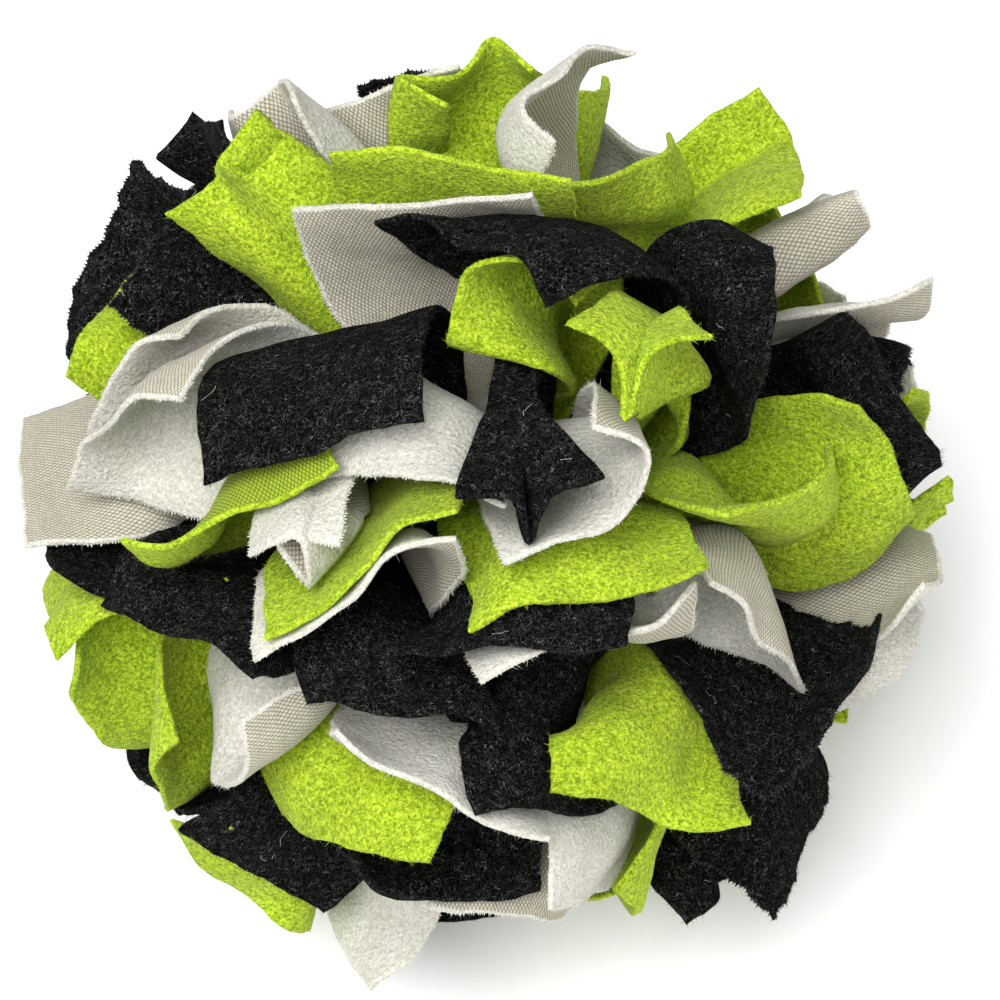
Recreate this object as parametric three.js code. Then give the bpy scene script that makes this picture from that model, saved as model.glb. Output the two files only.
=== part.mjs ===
import * as THREE from 'three';

// A snuffle ball: fleece strips stacked, pinched in the middle and fanned out at both ends
// into a ball. Millimetres, +Z up, the ball rests on z = 0 on the flaps folded flat under it.

const BALL_CENTRE_HEIGHT = 79;
const OUTER_RADIUS = 92;
const STRIP_WIDTH = 46;
const STRIP_THICKNESS = 1.7;
const PIECE_GAP = 0.34;
const THINNEST_HALF = 0.3;
const FLAT_FOOT_WITHIN = 0.25;

// The pinched stack: rings of strips round one straight axis.
const PINCHED_WIDTH = 7;
const RING_STEP = 2.6;
const STRIPS_IN_RING = [1, 3, 5, 7, 8, 10, 11, 13];
const RING_FAN_ANGLE = [6, 20, 33, 45, 56, 66, 76, 86];
const FIRST_BEND_AT = 17.5;
const BEND_SOONER_PER_RING = 2;
const FAN_BEND_LENGTH = 30;
const FAN_STEPS = 40;

// The stack's axis leans towards the front, 62 degrees above the horizontal.
const AXIS_ELEVATION = THREE.MathUtils.degToRad(62);
const VIEW_RIGHT = new THREE.Vector3(1, 0, 0);
const VIEW_UP = new THREE.Vector3(0, Math.sin(AXIS_ELEVATION), Math.cos(AXIS_ELEVATION));
const VIEW_TOWARD = new THREE.Vector3(0, -Math.cos(AXIS_ELEVATION), Math.sin(AXIS_ELEVATION));
const VIEW_DISTANCE = 750;

// Flap places are read along that axis on a sheet of 0.2 mm squares, from its upper left corner.
const SQUARE = 0.2;
const CENTRE_RIGHT = 487;
const CENTRE_DOWN = 510;
const NECK_RADIUS = 60;

// One half strip, pinch to tip: its first rows lie at fixed lengths, the others share out the
// rest of the way, and every row has its share of the full width.
const INNER_ROWS = [0, 9, 20, 34];
const OUTER_ROW_SHARES = [0.27, 0.52, 0.76, 1];
const WIDTH_SHARES = [0, 0, 0.12, 0.4, 0.76, 0.97, 1, 1];
const HALF_ROWS = WIDTH_SHARES.length - 1;
const ROWS = 2 * HALF_ROWS + 1;
const COLUMNS = 5;
const LAST_COLUMN = COLUMNS - 1;
const STRIP_POINTS = ROWS * COLUMNS;
const HALF_LENGTH_RANGE = [86, 124];

// How the cloth settles: steps, how far apart sheets stay, and how strongly each rule acts.
const SETTLE_STEPS = 190;
const GROWN_AT_SHARE = 0.6;
const FLOOR_START = -36;
const FLOOR_UP_AT_SHARE = 0.5;
const PASSES_PER_STEP = 5;
const SHEET_SPACING = STRIP_THICKNESS + 0.5;
const SEARCH_DISTANCE = 4.2;
const SAFE_SHARE = 0.45;
const CLOSEST_SPACING = 1.5;
const TAKE_BACK_ROUNDS = 60;
const HALVING_ROUNDS = 3;
const TIP_PULL = 0.15;
const CURLED_TIP_PULL = 0.5;
const CURLED_ROW_SHARES = { 7: 1, 6: 0.9, 5: 0.65 };
const CURLED_ROW_PULL = 0.2;
const CURLED_BEND_SHARE = 0.1;
const PATH_PULL = 0.03;
const REST_AT_SHARE = 0.85;
const REST_PULL = 0.25;
const CLEARING_ROUNDS = 30;
const CLEARING_HEIGHT = 14;
const FLOOR_PULL = 0.3;
const BIAS = 0.6;
const BEND_ALONG = 0.2;
const BEND_ACROSS = 0.35;
const BEND_WHOLE_WIDTH = 0.06;

const CLOTHS = {
  black: { colour: 0x17191c, roughness: 0.97 },
  green: { colour: 0xa4c22c, roughness: 0.95 },
  grey: { colour: 0xc9c8c0, roughness: 0.95 },
};

// Flaps in front: cloth, where the flap leaves the ball's inside, the two corners of its cut tip
// with their distances from the ball's centre, and the middle of a tip that is curled.
const FLAP_COLUMNS = [
  'cloth', 'neckRight', 'neckDown', 'aRight', 'aDown', 'aRadius', 'bRight', 'bDown', 'bRadius',
  'midRight', 'midDown',
];
const CROWN_FLAPS = [
  ['black', 640, 285, 425, 262, 96, 452, 348, 95],
  ['green', 590, 305, 400, 300, 93, 462, 372, 91],
  ['black', 655, 300, 763, 256, 96, 757, 335, 93],
  ['grey', 455, 300, 300, 220, 97, 520, 178, 97],
  ['green', 480, 250, 343, 162, 95, 580, 162, 96],
  ['grey', 410, 220, 300, 105, 92, 473, 72, 92],
  ['green', 505, 180, 448, 95, 88, 513, 82, 89, 480, 82],
  ['grey', 520, 190, 604, 72, 92, 572, 155, 92, 548, 108],
  ['green', 625, 260, 597, 200, 95, 660, 142, 95],
  ['green', 645, 240, 764, 77, 92, 803, 222, 95, 790, 145],
  ['black', 530, 330, 470, 500, 94, 578, 470, 94, 530, 563],
  ['grey', 545, 380, 605, 430, 88, 497, 562, 88, 622, 520],
];
const LEFT_FLAPS = [
  ['black', 300, 290, 172, 110, 92, 240, 140, 96, 205, 118],
  ['black', 285, 335, 170, 172, 89, 52, 338, 89],
  ['black', 310, 310, 172, 185, 96, 123, 272, 96],
  ['green', 320, 280, 232, 160, 95, 180, 208, 97, 196, 172],
  ['green', 275, 350, 131, 275, 90, 110, 385, 89],
  ['grey', 270, 385, 168, 350, 88, 128, 430, 88],
  ['grey', 330, 350, 150, 430, 93, 145, 492, 92],
  ['grey', 340, 250, 236, 115, 92, 297, 108, 96, 270, 80],
  ['black', 390, 320, 215, 475, 96, 440, 448, 97],
  ['green', 330, 400, 160, 522, 90, 385, 482, 89],
  ['grey', 400, 360, 255, 490, 90, 482, 475, 93],
  ['grey', 345, 440, 262, 560, 89, 350, 545, 87, 303, 593],
  ['green', 385, 470, 270, 637, 93, 460, 492, 95],
  ['grey', 400, 500, 275, 662, 91, 482, 497, 92],
  ['grey', 215, 505, 2, 425, 97, 36, 567, 96],
  ['black', 235, 480, 62, 440, 91, 70, 556, 91],
  ['black', 285, 550, 120, 592, 94, 275, 682, 94],
  ['green', 215, 575, 62, 573, 90, 78, 640, 90],
  ['green', 270, 665, 98, 650, 90, 107, 753, 91],
];
const FRONT_FLAPS = [
  ['black', 470, 500, 350, 642, 94, 585, 645, 96],
  ['green', 565, 490, 460, 665, 92, 677, 558, 95],
  ['grey', 610, 520, 507, 682, 93, 715, 582, 95],
  ['black', 445, 610, 320, 705, 91, 515, 772, 93],
  ['grey', 475, 640, 335, 720, 88, 548, 822, 91],
  ['green', 385, 690, 273, 803, 91, 422, 848, 91],
  ['grey', 330, 640, 228, 738, 90, 285, 800, 88],
  ['black', 610, 640, 455, 806, 88, 655, 786, 92],
  ['green', 645, 640, 485, 815, 86, 712, 783, 91],
  ['green', 632, 750, 600, 905, 88, 690, 930, 91],
  ['grey', 585, 735, 553, 872, 87, 608, 895, 89],
  ['black', 460, 735, 385, 868, 88, 520, 902, 91],
  ['black', 350, 755, 195, 785, 86, 313, 921, 92],
  ['green', 365, 775, 195, 812, 83, 320, 945, 90],
  ['grey', 385, 785, 235, 868, 84, 355, 973, 88],
  ['green', 310, 700, 192, 768, 90, 190, 806, 89],
];
const RIGHT_FLAPS = [
  ['green', 640, 350, 573, 330, 97, 697, 335, 97, 610, 430],
  ['green', 700, 375, 827, 430, 96, 722, 533, 95],
  ['black', 755, 325, 822, 432, 93, 890, 425, 93],
  ['grey', 740, 275, 877, 196, 93, 852, 242, 88, 870, 216],
  ['grey', 780, 325, 929, 285, 93, 914, 336, 91],
  ['green', 790, 410, 885, 390, 88, 940, 462, 92],
  ['green', 775, 480, 868, 427, 93, 878, 493, 92],
  ['grey', 790, 500, 955, 512, 92, 915, 562, 90],
  ['grey', 710, 530, 655, 618, 90, 795, 668, 94],
  ['black', 720, 600, 875, 615, 93, 752, 795, 91],
  ['black', 725, 710, 851, 815, 93, 780, 900, 91],
];

// Strips whose other end comes round to the rim too: place of the front end in the tables, then
// the rim end in the same columns.
const RIM_FLAPS = [
  ['black', 280, 735, 132, 805, 88, 150, 770, 88],
  ['black', 300, 760, 137, 838, 87, 262, 900, 88],
  ['grey', 520, 780, 475, 918, 89, 556, 925, 90],
  ['black', 665, 760, 688, 918, 88, 718, 895, 88],
  ['black', 710, 740, 740, 892, 89, 752, 865, 88],
  ['grey', 790, 600, 918, 630, 88, 895, 673, 87],
  ['black', 810, 560, 972, 535, 92, 930, 600, 90],
  ['green', 820, 440, 974, 441, 95, 940, 480, 88],
  ['black', 800, 365, 949, 372, 93, 905, 400, 86],
  ['black', 735, 285, 897, 228, 91, 827, 290, 88],
  ['green', 535, 170, 606, 55, 93, 560, 105, 84],
  ['black', 465, 150, 398, 48, 90, 514, 64, 91],
  ['black', 200, 600, 38, 606, 91, 82, 660, 90],
];

const SMALLEST_GAIN = 1e-9;
const centre = new THREE.Vector3(0, 0, BALL_CENTRE_HEIGHT);
const halfThickness = STRIP_THICKNESS / 2;

function smooth(t) {
  const clamped = Math.min(1, Math.max(0, t));
  return clamped * clamped * (3 - 2 * clamped);
}

// A repeatable scatter between 0 and 1.
function scatter(index, salt) {
  const value = Math.sin(index * 127.1 + salt * 311.7) * 43758.5453;
  return value - Math.floor(value);
}

// The point at this distance from the ball's centre that shows at this place of the sheet.
function pointAt(right, down, radius) {
  const a = (right - CENTRE_RIGHT) * SQUARE;
  const b = (CENTRE_DOWN - down) * SQUARE;
  const away = a * a + b * b;
  const lead = 1 + away / (VIEW_DISTANCE * VIEW_DISTANCE);
  const half = away / VIEW_DISTANCE;
  const root = half * half - lead * (away - radius * radius);
  const toward = (half + Math.sqrt(Math.max(0, root))) / lead;
  const shrink = 1 - toward / VIEW_DISTANCE;
  return centre.clone()
    .addScaledVector(VIEW_RIGHT, a * shrink)
    .addScaledVector(VIEW_UP, b * shrink)
    .addScaledVector(VIEW_TOWARD, toward);
}

function azimuthOf(direction) {
  return Math.atan2(direction.dot(VIEW_UP), direction.dot(VIEW_RIGHT));
}

function fromStackAxes(right, up, toward) {
  return new THREE.Vector3()
    .addScaledVector(VIEW_RIGHT, right)
    .addScaledVector(VIEW_UP, up)
    .addScaledVector(VIEW_TOWARD, toward);
}

// A flap's place: neck, tip corners (never further apart than the strip is wide) and tip middle.
function flapFromRow(row) {
  const flap = Object.fromEntries(FLAP_COLUMNS.map((name, i) => [name, row[i]]));
  const neck = pointAt(flap.neckRight, flap.neckDown, NECK_RADIUS);
  const a = pointAt(flap.aRight, flap.aDown, flap.aRadius);
  const b = pointAt(flap.bRight, flap.bDown, flap.bRadius);
  const middle = a.clone().add(b).multiplyScalar(0.5);
  const spread = a.distanceTo(b);
  if (spread > STRIP_WIDTH) {
    a.sub(middle).multiplyScalar(STRIP_WIDTH / spread).add(middle);
    b.sub(middle).multiplyScalar(STRIP_WIDTH / spread).add(middle);
  }
  if (flap.midRight === undefined) {
    turnToFullWidth(a, b, flap.aRadius, flap.bRadius);
    return { cloth: flap.cloth, neck, a, b, tip: a.clone().add(b).multiplyScalar(0.5) };
  }
  const radius = (flap.aRadius + flap.bRadius) / 2;
  const tip = pointAt(flap.midRight, flap.midDown, radius);
  return { cloth: flap.cloth, neck, a, b, tip, curled: true };
}

// A tip that shows narrower than the strip is turned in depth until it is about full width, one
// corner or both moving along the line of sight, whichever keeps them nearest their distances.
const TURNED_WIDTH = 0.95 * STRIP_WIDTH;
const MOST_TURNED_DEPTH = 32;
const OUTSIDE_COST = 5;
function turnToFullWidth(a, b, aRadius, bRadius) {
  const missing = TURNED_WIDTH ** 2 - a.distanceToSquared(b);
  if (missing <= 0) {
    return;
  }
  const depth = Math.min(MOST_TURNED_DEPTH, Math.sqrt(missing));
  const choices = [];
  for (const sign of [-1, 1]) {
    for (const share of [0, 0.5, 1]) {
      const newA = a.clone().addScaledVector(VIEW_TOWARD, sign * depth * share);
      const newB = b.clone().addScaledVector(VIEW_TOWARD, -sign * depth * (1 - share));
      const cost = [[newA, aRadius], [newB, bRadius]].reduce((sum, [point, wanted]) => {
        const off = point.distanceTo(centre) - wanted;
        return sum + (off > 0 ? OUTSIDE_COST : 1) * off * off;
      }, 0);
      choices.push({ newA, newB, cost });
    }
  }
  choices.sort((one, two) => one.cost - two.cost);
  a.copy(choices[0].newA);
  b.copy(choices[0].newB);
}

// Flaps on the far side: how they lean, and how much lower the outer ones stay, so that gaps
// show between the flaps of the rim.
const FAR_POLAR_SHARE = 0.86;
const FAR_TURN_RANGE = 2.2;
const FAR_LEAN_RANGE = [12, 30];
const FAR_OUTER_LEAN_LOSS = 0.7;
const FAR_DISTANCE_RANGE = [OUTER_RADIUS - 4, OUTER_RADIUS];
const FAR_RIM_DROP = 16;
const FAR_RISE_OVER = 2;
const FAR_LOWEST_TIP = 16;
const FOOT_ANGLE = THREE.MathUtils.degToRad(28);
const FOOT_FLAP_LENGTH = 28;
const FOOT_TURNED_BACK = 0.36;
const KNEES_APART = 18;
const SECOND_LAYER_HEIGHT = 12;

// A flap on the far side: it leans away from the axis, or lies on the floor under the ball.
function farFlap(index, slot, knees) {
  const polar = FAR_POLAR_SHARE * THREE.MathUtils.degToRad(RING_FAN_ANGLE[slot.ring]);
  const ring = new THREE.Vector2(Math.cos(slot.azimuth), Math.sin(slot.azimuth));
  const outward = fromStackAxes(
    ring.x * Math.sin(polar), ring.y * Math.sin(polar), -Math.cos(polar));
  const awayFromPole = fromStackAxes(
    ring.x * Math.cos(polar), ring.y * Math.cos(polar), Math.sin(polar));
  const sideways = new THREE.Vector3().crossVectors(outward, awayFromPole);
  const turn = (scatter(index, 1) - 0.5) * FAR_TURN_RANGE;
  const lean = awayFromPole.clone().multiplyScalar(Math.cos(turn))
    .addScaledVector(sideways, Math.sin(turn));
  const across = new THREE.Vector3().crossVectors(outward, lean).normalize();
  const neck = centre.clone().addScaledVector(outward, NECK_RADIUS);
  const ringShare = slot.ring / STRIPS_IN_RING.length;
  const leanLength = THREE.MathUtils.lerp(...FAR_LEAN_RANGE, scatter(index, 2))
    * (1 - FAR_OUTER_LEAN_LOSS * ringShare);
  const distance = THREE.MathUtils.lerp(...FAR_DISTANCE_RANGE, scatter(index, 3))
    - FAR_RIM_DROP * ringShare * ringShare;
  const tip = centre.clone()
    .addScaledVector(outward, distance)
    .addScaledVector(lean, leanLength);
  const fromCentre = tip.clone().sub(centre);
  fromCentre.setLength(Math.min(fromCentre.length(), distance + FAR_RISE_OVER));
  if (fromCentre.z < FAR_LOWEST_TIP - BALL_CENTRE_HEIGHT) {
    fromCentre.multiplyScalar((FAR_LOWEST_TIP - BALL_CENTRE_HEIGHT) / fromCentre.z);
  }
  tip.copy(centre).add(fromCentre);
  const a = tip.clone().addScaledVector(across, -STRIP_WIDTH / 2);
  const b = tip.clone().addScaledVector(across, STRIP_WIDTH / 2);
  if (Math.acos(-outward.z) < FOOT_ANGLE) {
    return footFlap(outward, knees);
  }
  return { neck, a, b, tip };
}

// A flap under the ball: straight down, then flat away from the middle and from the front. It
// lies on the floor, or on top of the flaps there where its bend is close to that of another.
function footFlap(outward, knees) {
  const flat = new THREE.Vector3(outward.x, outward.y + FOOT_TURNED_BACK, 0).normalize();
  const side = new THREE.Vector3(-flat.y, flat.x, 0);
  const knee = centre.clone().addScaledVector(
    outward, (BALL_CENTRE_HEIGHT - halfThickness) / -outward.z);
  const foot = knees.every((other) => other.distanceTo(knee) > KNEES_APART);
  if (foot) {
    knees.push(knee.clone());
  } else {
    knee.z += SECOND_LAYER_HEIGHT;
  }
  const tip = knee.clone().addScaledVector(flat, FOOT_FLAP_LENGTH);
  const a = tip.clone().addScaledVector(side, -STRIP_WIDTH / 2);
  const b = tip.clone().addScaledVector(side, STRIP_WIDTH / 2);
  return { neck: knee, a, b, tip, foot };
}

// Every place in the stack, ring by ring, with the direction in which its fan points.
function stackSlots() {
  const slots = [];
  STRIPS_IN_RING.forEach((count, ring) => {
    const polar = THREE.MathUtils.degToRad(RING_FAN_ANGLE[ring]);
    for (let i = 0; i < count; i += 1) {
      const azimuth = 2 * Math.PI * (i + 0.5 * (ring % 2)) / count;
      const direction = fromStackAxes(Math.sin(polar) * Math.cos(azimuth),
        Math.sin(polar) * Math.sin(azimuth), Math.cos(polar));
      slots.push({ ring, azimuth, direction });
    }
  });
  return slots;
}

// Front flaps take the places that point their way: first by how far they point from the
// stack's axis, then by swapping pairs as long as that brings them nearer.
function assignSlots(flaps) {
  const slots = stackSlots();
  const members = flaps.map((flap) => {
    const direction = flap.neck.clone().add(flap.tip).multiplyScalar(0.5).sub(centre).normalize();
    return { flap, direction };
  }).sort((one, two) => two.direction.dot(VIEW_TOWARD) - one.direction.dot(VIEW_TOWARD));
  const cost = (member, slot) => member.direction.distanceToSquared(slot.direction);
  let swapped = true;
  while (swapped) {
    swapped = false;
    for (let i = 0; i < slots.length; i += 1) {
      for (let j = i + 1; j < slots.length; j += 1) {
        const now = cost(members[i], slots[i]) + cost(members[j], slots[j]);
        const then = cost(members[j], slots[i]) + cost(members[i], slots[j]);
        if (then < now - SMALLEST_GAIN) {
          [members[i], members[j]] = [members[j], members[i]];
          swapped = true;
        }
      }
    }
  }
  return slots.map((slot, i) => ({ ...slot, flap: members[i].flap }));
}

// The straight fan a strip starts from: out of the pinch, round a bend, then straight on.
function fanProfile(ring, along) {
  const fanAngle = THREE.MathUtils.degToRad(RING_FAN_ANGLE[ring]);
  const bendAt = FIRST_BEND_AT - BEND_SOONER_PER_RING * ring;
  let radius = RING_STEP * (ring + 1);
  let height = 0;
  for (let i = 0; i < FAN_STEPS; i += 1) {
    const at = (i + 0.5) / FAN_STEPS * along;
    const angle = fanAngle * smooth((at - bendAt) / FAN_BEND_LENGTH);
    radius += Math.sin(angle) * along / FAN_STEPS;
    height += Math.cos(angle) * along / FAN_STEPS;
  }
  return { radius, height };
}

function fanPoint(slot, side, along, offset) {
  const { radius, height } = fanProfile(slot.ring, along);
  const azimuth = slot.azimuth + offset / radius;
  return fromStackAxes(
    radius * Math.cos(azimuth), radius * Math.sin(azimuth), side * height).add(centre);
}

// The line a half strip would like to follow: out of the pinch, through its neck, to its tip.
function wishedPath(slot, side, flap) {
  const start = fanPoint(slot, side, 0, 0);
  const straight = fanPoint(slot, side, INNER_ROWS[1], 0);
  const halfway = straight.clone().lerp(flap.neck, 0.5);
  return new THREE.CatmullRomCurve3([start, straight, halfway, flap.neck, flap.tip], false,
    'centripetal');
}

const flapTable = [...CROWN_FLAPS, ...LEFT_FLAPS, ...FRONT_FLAPS, ...RIGHT_FLAPS];

// Rim flaps join the nearest free front flap of their cloth in the outer rings.
const FIRST_RIM_RING = 4;
const INNER_RING_COST = 0.12;
const MOST_RIM_TURN = 0.6;
function pairRimFlaps(slots) {
  const taken = new Set();
  for (const row of RIM_FLAPS) {
    const rim = flapFromRow(row);
    const azimuth = azimuthOf(rim.tip.clone().sub(centre));
    let best = null;
    let lowest = MOST_RIM_TURN;
    for (const slot of slots) {
      if (slot.flap.cloth === rim.cloth && slot.ring >= FIRST_RIM_RING && !taken.has(slot)) {
        const turn = Math.abs(Math.atan2(
          Math.sin(slot.azimuth - azimuth), Math.cos(slot.azimuth - azimuth)));
        const cost = turn + INNER_RING_COST * (STRIPS_IN_RING.length - 1 - slot.ring);
        if (cost < lowest) {
          lowest = cost;
          best = slot;
        }
      }
    }
    if (best) {
      taken.add(best);
      best.rim = rim;
    }
  }
}

function layOutStrips() {
  const flaps = flapTable.map(flapFromRow);
  const slots = assignSlots(flaps);
  pairRimFlaps(slots);
  const knees = [];
  return slots.map((slot, index) => {
    const back = slot.rim ?? farFlap(index, slot, knees);
    const halves = [[-1, back], [1, slot.flap]].map(([side, flap]) => {
      const path = wishedPath(slot, side, flap);
      const length = THREE.MathUtils.clamp(path.getLength(), ...HALF_LENGTH_RANGE);
      const toB = flap.b.clone().sub(flap.a);
      const ringWay = fromStackAxes(-Math.sin(slot.azimuth), Math.cos(slot.azimuth), 0);
      const flip = toB.dot(ringWay) < 0;
      return {
        side, path, length, foot: flap.foot === true, curled: flap.curled === true,
        tips: flip ? [flap.b, flap.tip, flap.a] : [flap.a, flap.tip, flap.b],
      };
    });
    return { cloth: slot.flap.cloth, slot, halves };
  });
}

// How far along a half strip of this length a row lies, counted from the pinch.
function rowAt(step, length) {
  if (step < INNER_ROWS.length) {
    return INNER_ROWS[step];
  }
  const inner = INNER_ROWS.at(-1);
  return inner + (length - inner) * OUTER_ROW_SHARES[step - INNER_ROWS.length];
}

function widthAt(row, grown) {
  const share = WIDTH_SHARES[Math.abs(row - HALF_ROWS)];
  return PINCHED_WIDTH + (STRIP_WIDTH - PINCHED_WIDTH) * share * grown;
}

// Where a grid point of a strip lies when the strip is spread flat.
function flatPlace(strip, row, column, grown) {
  const half = strip.halves[row < HALF_ROWS ? 0 : 1];
  const along = rowAt(Math.abs(row - HALF_ROWS), half.length) * half.side;
  const across = (column / LAST_COLUMN - 0.5) * widthAt(row, grown);
  return [along, across];
}

function pointIndex(strip, row, column) {
  return strip * STRIP_POINTS + row * COLUMNS + column;
}

function placeInFan(strips) {
  const position = new Float64Array(strips.length * STRIP_POINTS * 3);
  strips.forEach((strip, index) => {
    for (let row = 0; row < ROWS; row += 1) {
      for (let column = 0; column < COLUMNS; column += 1) {
        const [along, across] = flatPlace(strip, row, column, 0);
        const point = fanPoint(strip.slot, Math.sign(along) || 1, Math.abs(along), across);
        point.toArray(position, 3 * pointIndex(index, row, column));
      }
    }
  });
  return position;
}

// Pairs of points whose distance the cloth keeps, along, across, on the bias and over a bend.
function clothLinks(strips) {
  const steps = [
    [1, 0, 1, false], [0, 1, 1, false], [1, 1, BIAS, false], [1, -1, BIAS, false],
    [2, 0, BEND_ALONG, true], [0, 2, BEND_ACROSS, true], [0, 4, BEND_WHOLE_WIDTH, true],
  ];
  const links = [];
  strips.forEach((strip, index) => {
    for (const [down, over, stiffness, pushesOnly] of steps) {
      for (let row = 0; row + down < ROWS; row += 1) {
        for (let column = 0; column < COLUMNS; column += 1) {
          const other = column + over;
          if (other >= 0 && other <= LAST_COLUMN) {
            const curled = over > 1 && strip.halves[row < HALF_ROWS ? 0 : 1].curled;
            links.push({
              from: pointIndex(index, row, column), to: pointIndex(index, row + down, other),
              stiffness: curled ? stiffness * CURLED_BEND_SHARE : stiffness,
              pushesOnly, strip, place: [row, column, row + down, other],
            });
          }
        }
      }
    }
  });
  return links;
}

function linkLengths(links, grown) {
  return Float64Array.from(links, ({ strip, place }) => {
    const [row, column, otherRow, otherColumn] = place;
    const [along, across] = flatPlace(strip, row, column, grown);
    const [otherAlong, otherAcross] = flatPlace(strip, otherRow, otherColumn, grown);
    return Math.hypot(otherAlong - along, otherAcross - across);
  });
}

// The places that points are drawn to: tips strongly, the path to them gently.
function wishes(strips) {
  const list = [];
  strips.forEach((strip, index) => {
    for (const half of strip.halves) {
      for (let step = 2; step <= HALF_ROWS; step += 1) {
        const row = HALF_ROWS + half.side * step;
        const isTip = step === HALF_ROWS;
        const tipPull = half.curled ? CURLED_TIP_PULL : TIP_PULL;
        const middle = half.path.getPointAt(rowAt(step, half.length) / half.length);
        list.push({ point: pointIndex(index, row, 2), to: middle,
          pull: isTip ? tipPull : PATH_PULL });
        const share = half.curled ? CURLED_ROW_SHARES[step] : Number(isTip);
        if (share) {
          for (const [column, corner] of [[0, half.tips[0]], [LAST_COLUMN, half.tips[2]]]) {
            list.push({
              point: pointIndex(index, row, column),
              to: corner.clone().sub(half.tips[1]).multiplyScalar(share).add(middle),
              pull: isTip ? tipPull : CURLED_ROW_PULL,
            });
          }
        }
        if (half.foot && step >= HALF_ROWS - 1) {
          for (let column = 0; column < COLUMNS; column += 1) {
            const down = pointIndex(index, row, column);
            list.push({ point: down, floor: true, pull: FLOOR_PULL });
          }
        }
      }
    }
  });
  return list;
}

// The sheet's triangles as grid points, the same for every strip.
function gridTriangles() {
  const triangles = [];
  for (let row = 0; row < ROWS - 1; row += 1) {
    for (let column = 0; column < LAST_COLUMN; column += 1) {
      const a = row * COLUMNS + column;
      const b = a + 1;
      const c = a + COLUMNS;
      const d = c + 1;
      if ((row + column) % 2 === 0) {
        triangles.push([a, b, d], [a, d, c]);
      } else {
        triangles.push([a, b, c], [b, d, c]);
      }
    }
  }
  return triangles;
}

const grid = gridTriangles();

// Every triangle of every strip, with the points and edges that it answers for.
function contactSurface(count) {
  const triangles = [];
  const ownPoints = [];
  const ownEdges = [];
  const seenPoints = new Set();
  const seenEdges = new Set();
  for (let strip = 0; strip < count; strip += 1) {
    for (const corners of grid) {
      const triangle = corners.map((corner) => strip * STRIP_POINTS + corner);
      const points = triangle.filter((point) => !seenPoints.has(point));
      points.forEach((point) => seenPoints.add(point));
      const edges = [];
      for (let i = 0; i < 3; i += 1) {
        const edge = [triangle[i], triangle[(i + 1) % 3]].sort((one, two) => one - two);
        const key = edge[0] * 100000 + edge[1];
        if (!seenEdges.has(key)) {
          seenEdges.add(key);
          edges.push(edge);
        }
      }
      triangles.push(triangle);
      ownPoints.push(points);
      ownEdges.push(edges);
    }
  }
  return { triangles, ownPoints, ownEdges };
}

// Weights of the point of a triangle that is nearest to p; returns the squared distance.
const weights = new Float64Array(4);
function nearestOnTriangle(x, p, a, b, c) {
  const abx = x[b] - x[a]; const aby = x[b + 1] - x[a + 1]; const abz = x[b + 2] - x[a + 2];
  const acx = x[c] - x[a]; const acy = x[c + 1] - x[a + 1]; const acz = x[c + 2] - x[a + 2];
  const apx = x[p] - x[a]; const apy = x[p + 1] - x[a + 1]; const apz = x[p + 2] - x[a + 2];
  const d1 = abx * apx + aby * apy + abz * apz;
  const d2 = acx * apx + acy * apy + acz * apz;
  let v = 0;
  let w = 0;
  const abab = abx * abx + aby * aby + abz * abz;
  const abac = abx * acx + aby * acy + abz * acz;
  const acac = acx * acx + acy * acy + acz * acz;
  const d3 = d1 - abab;
  const d4 = d2 - abac;
  const d5 = d1 - abac;
  const d6 = d2 - acac;
  if (d1 <= 0 && d2 <= 0) {
    v = 0;
  } else if (d3 >= 0 && d4 <= d3) {
    v = 1;
  } else if (d6 >= 0 && d5 <= d6) {
    w = 1;
  } else {
    const vc = d1 * d4 - d3 * d2;
    const vb = d5 * d2 - d1 * d6;
    const va = d3 * d6 - d5 * d4;
    if (vc <= 0 && d1 >= 0 && d3 <= 0) {
      v = d1 / (d1 - d3);
    } else if (vb <= 0 && d2 >= 0 && d6 <= 0) {
      w = d2 / (d2 - d6);
    } else if (va <= 0 && d4 - d3 >= 0 && d5 - d6 >= 0) {
      w = (d4 - d3) / (d4 - d3 + d5 - d6);
      v = 1 - w;
    } else {
      const sum = va + vb + vc;
      v = vb / sum;
      w = vc / sum;
    }
  }
  weights[0] = 1 - v - w;
  weights[1] = v;
  weights[2] = w;
  const dx = apx - abx * v - acx * w;
  const dy = apy - aby * v - acy * w;
  const dz = apz - abz * v - acz * w;
  return dx * dx + dy * dy + dz * dz;
}

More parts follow.
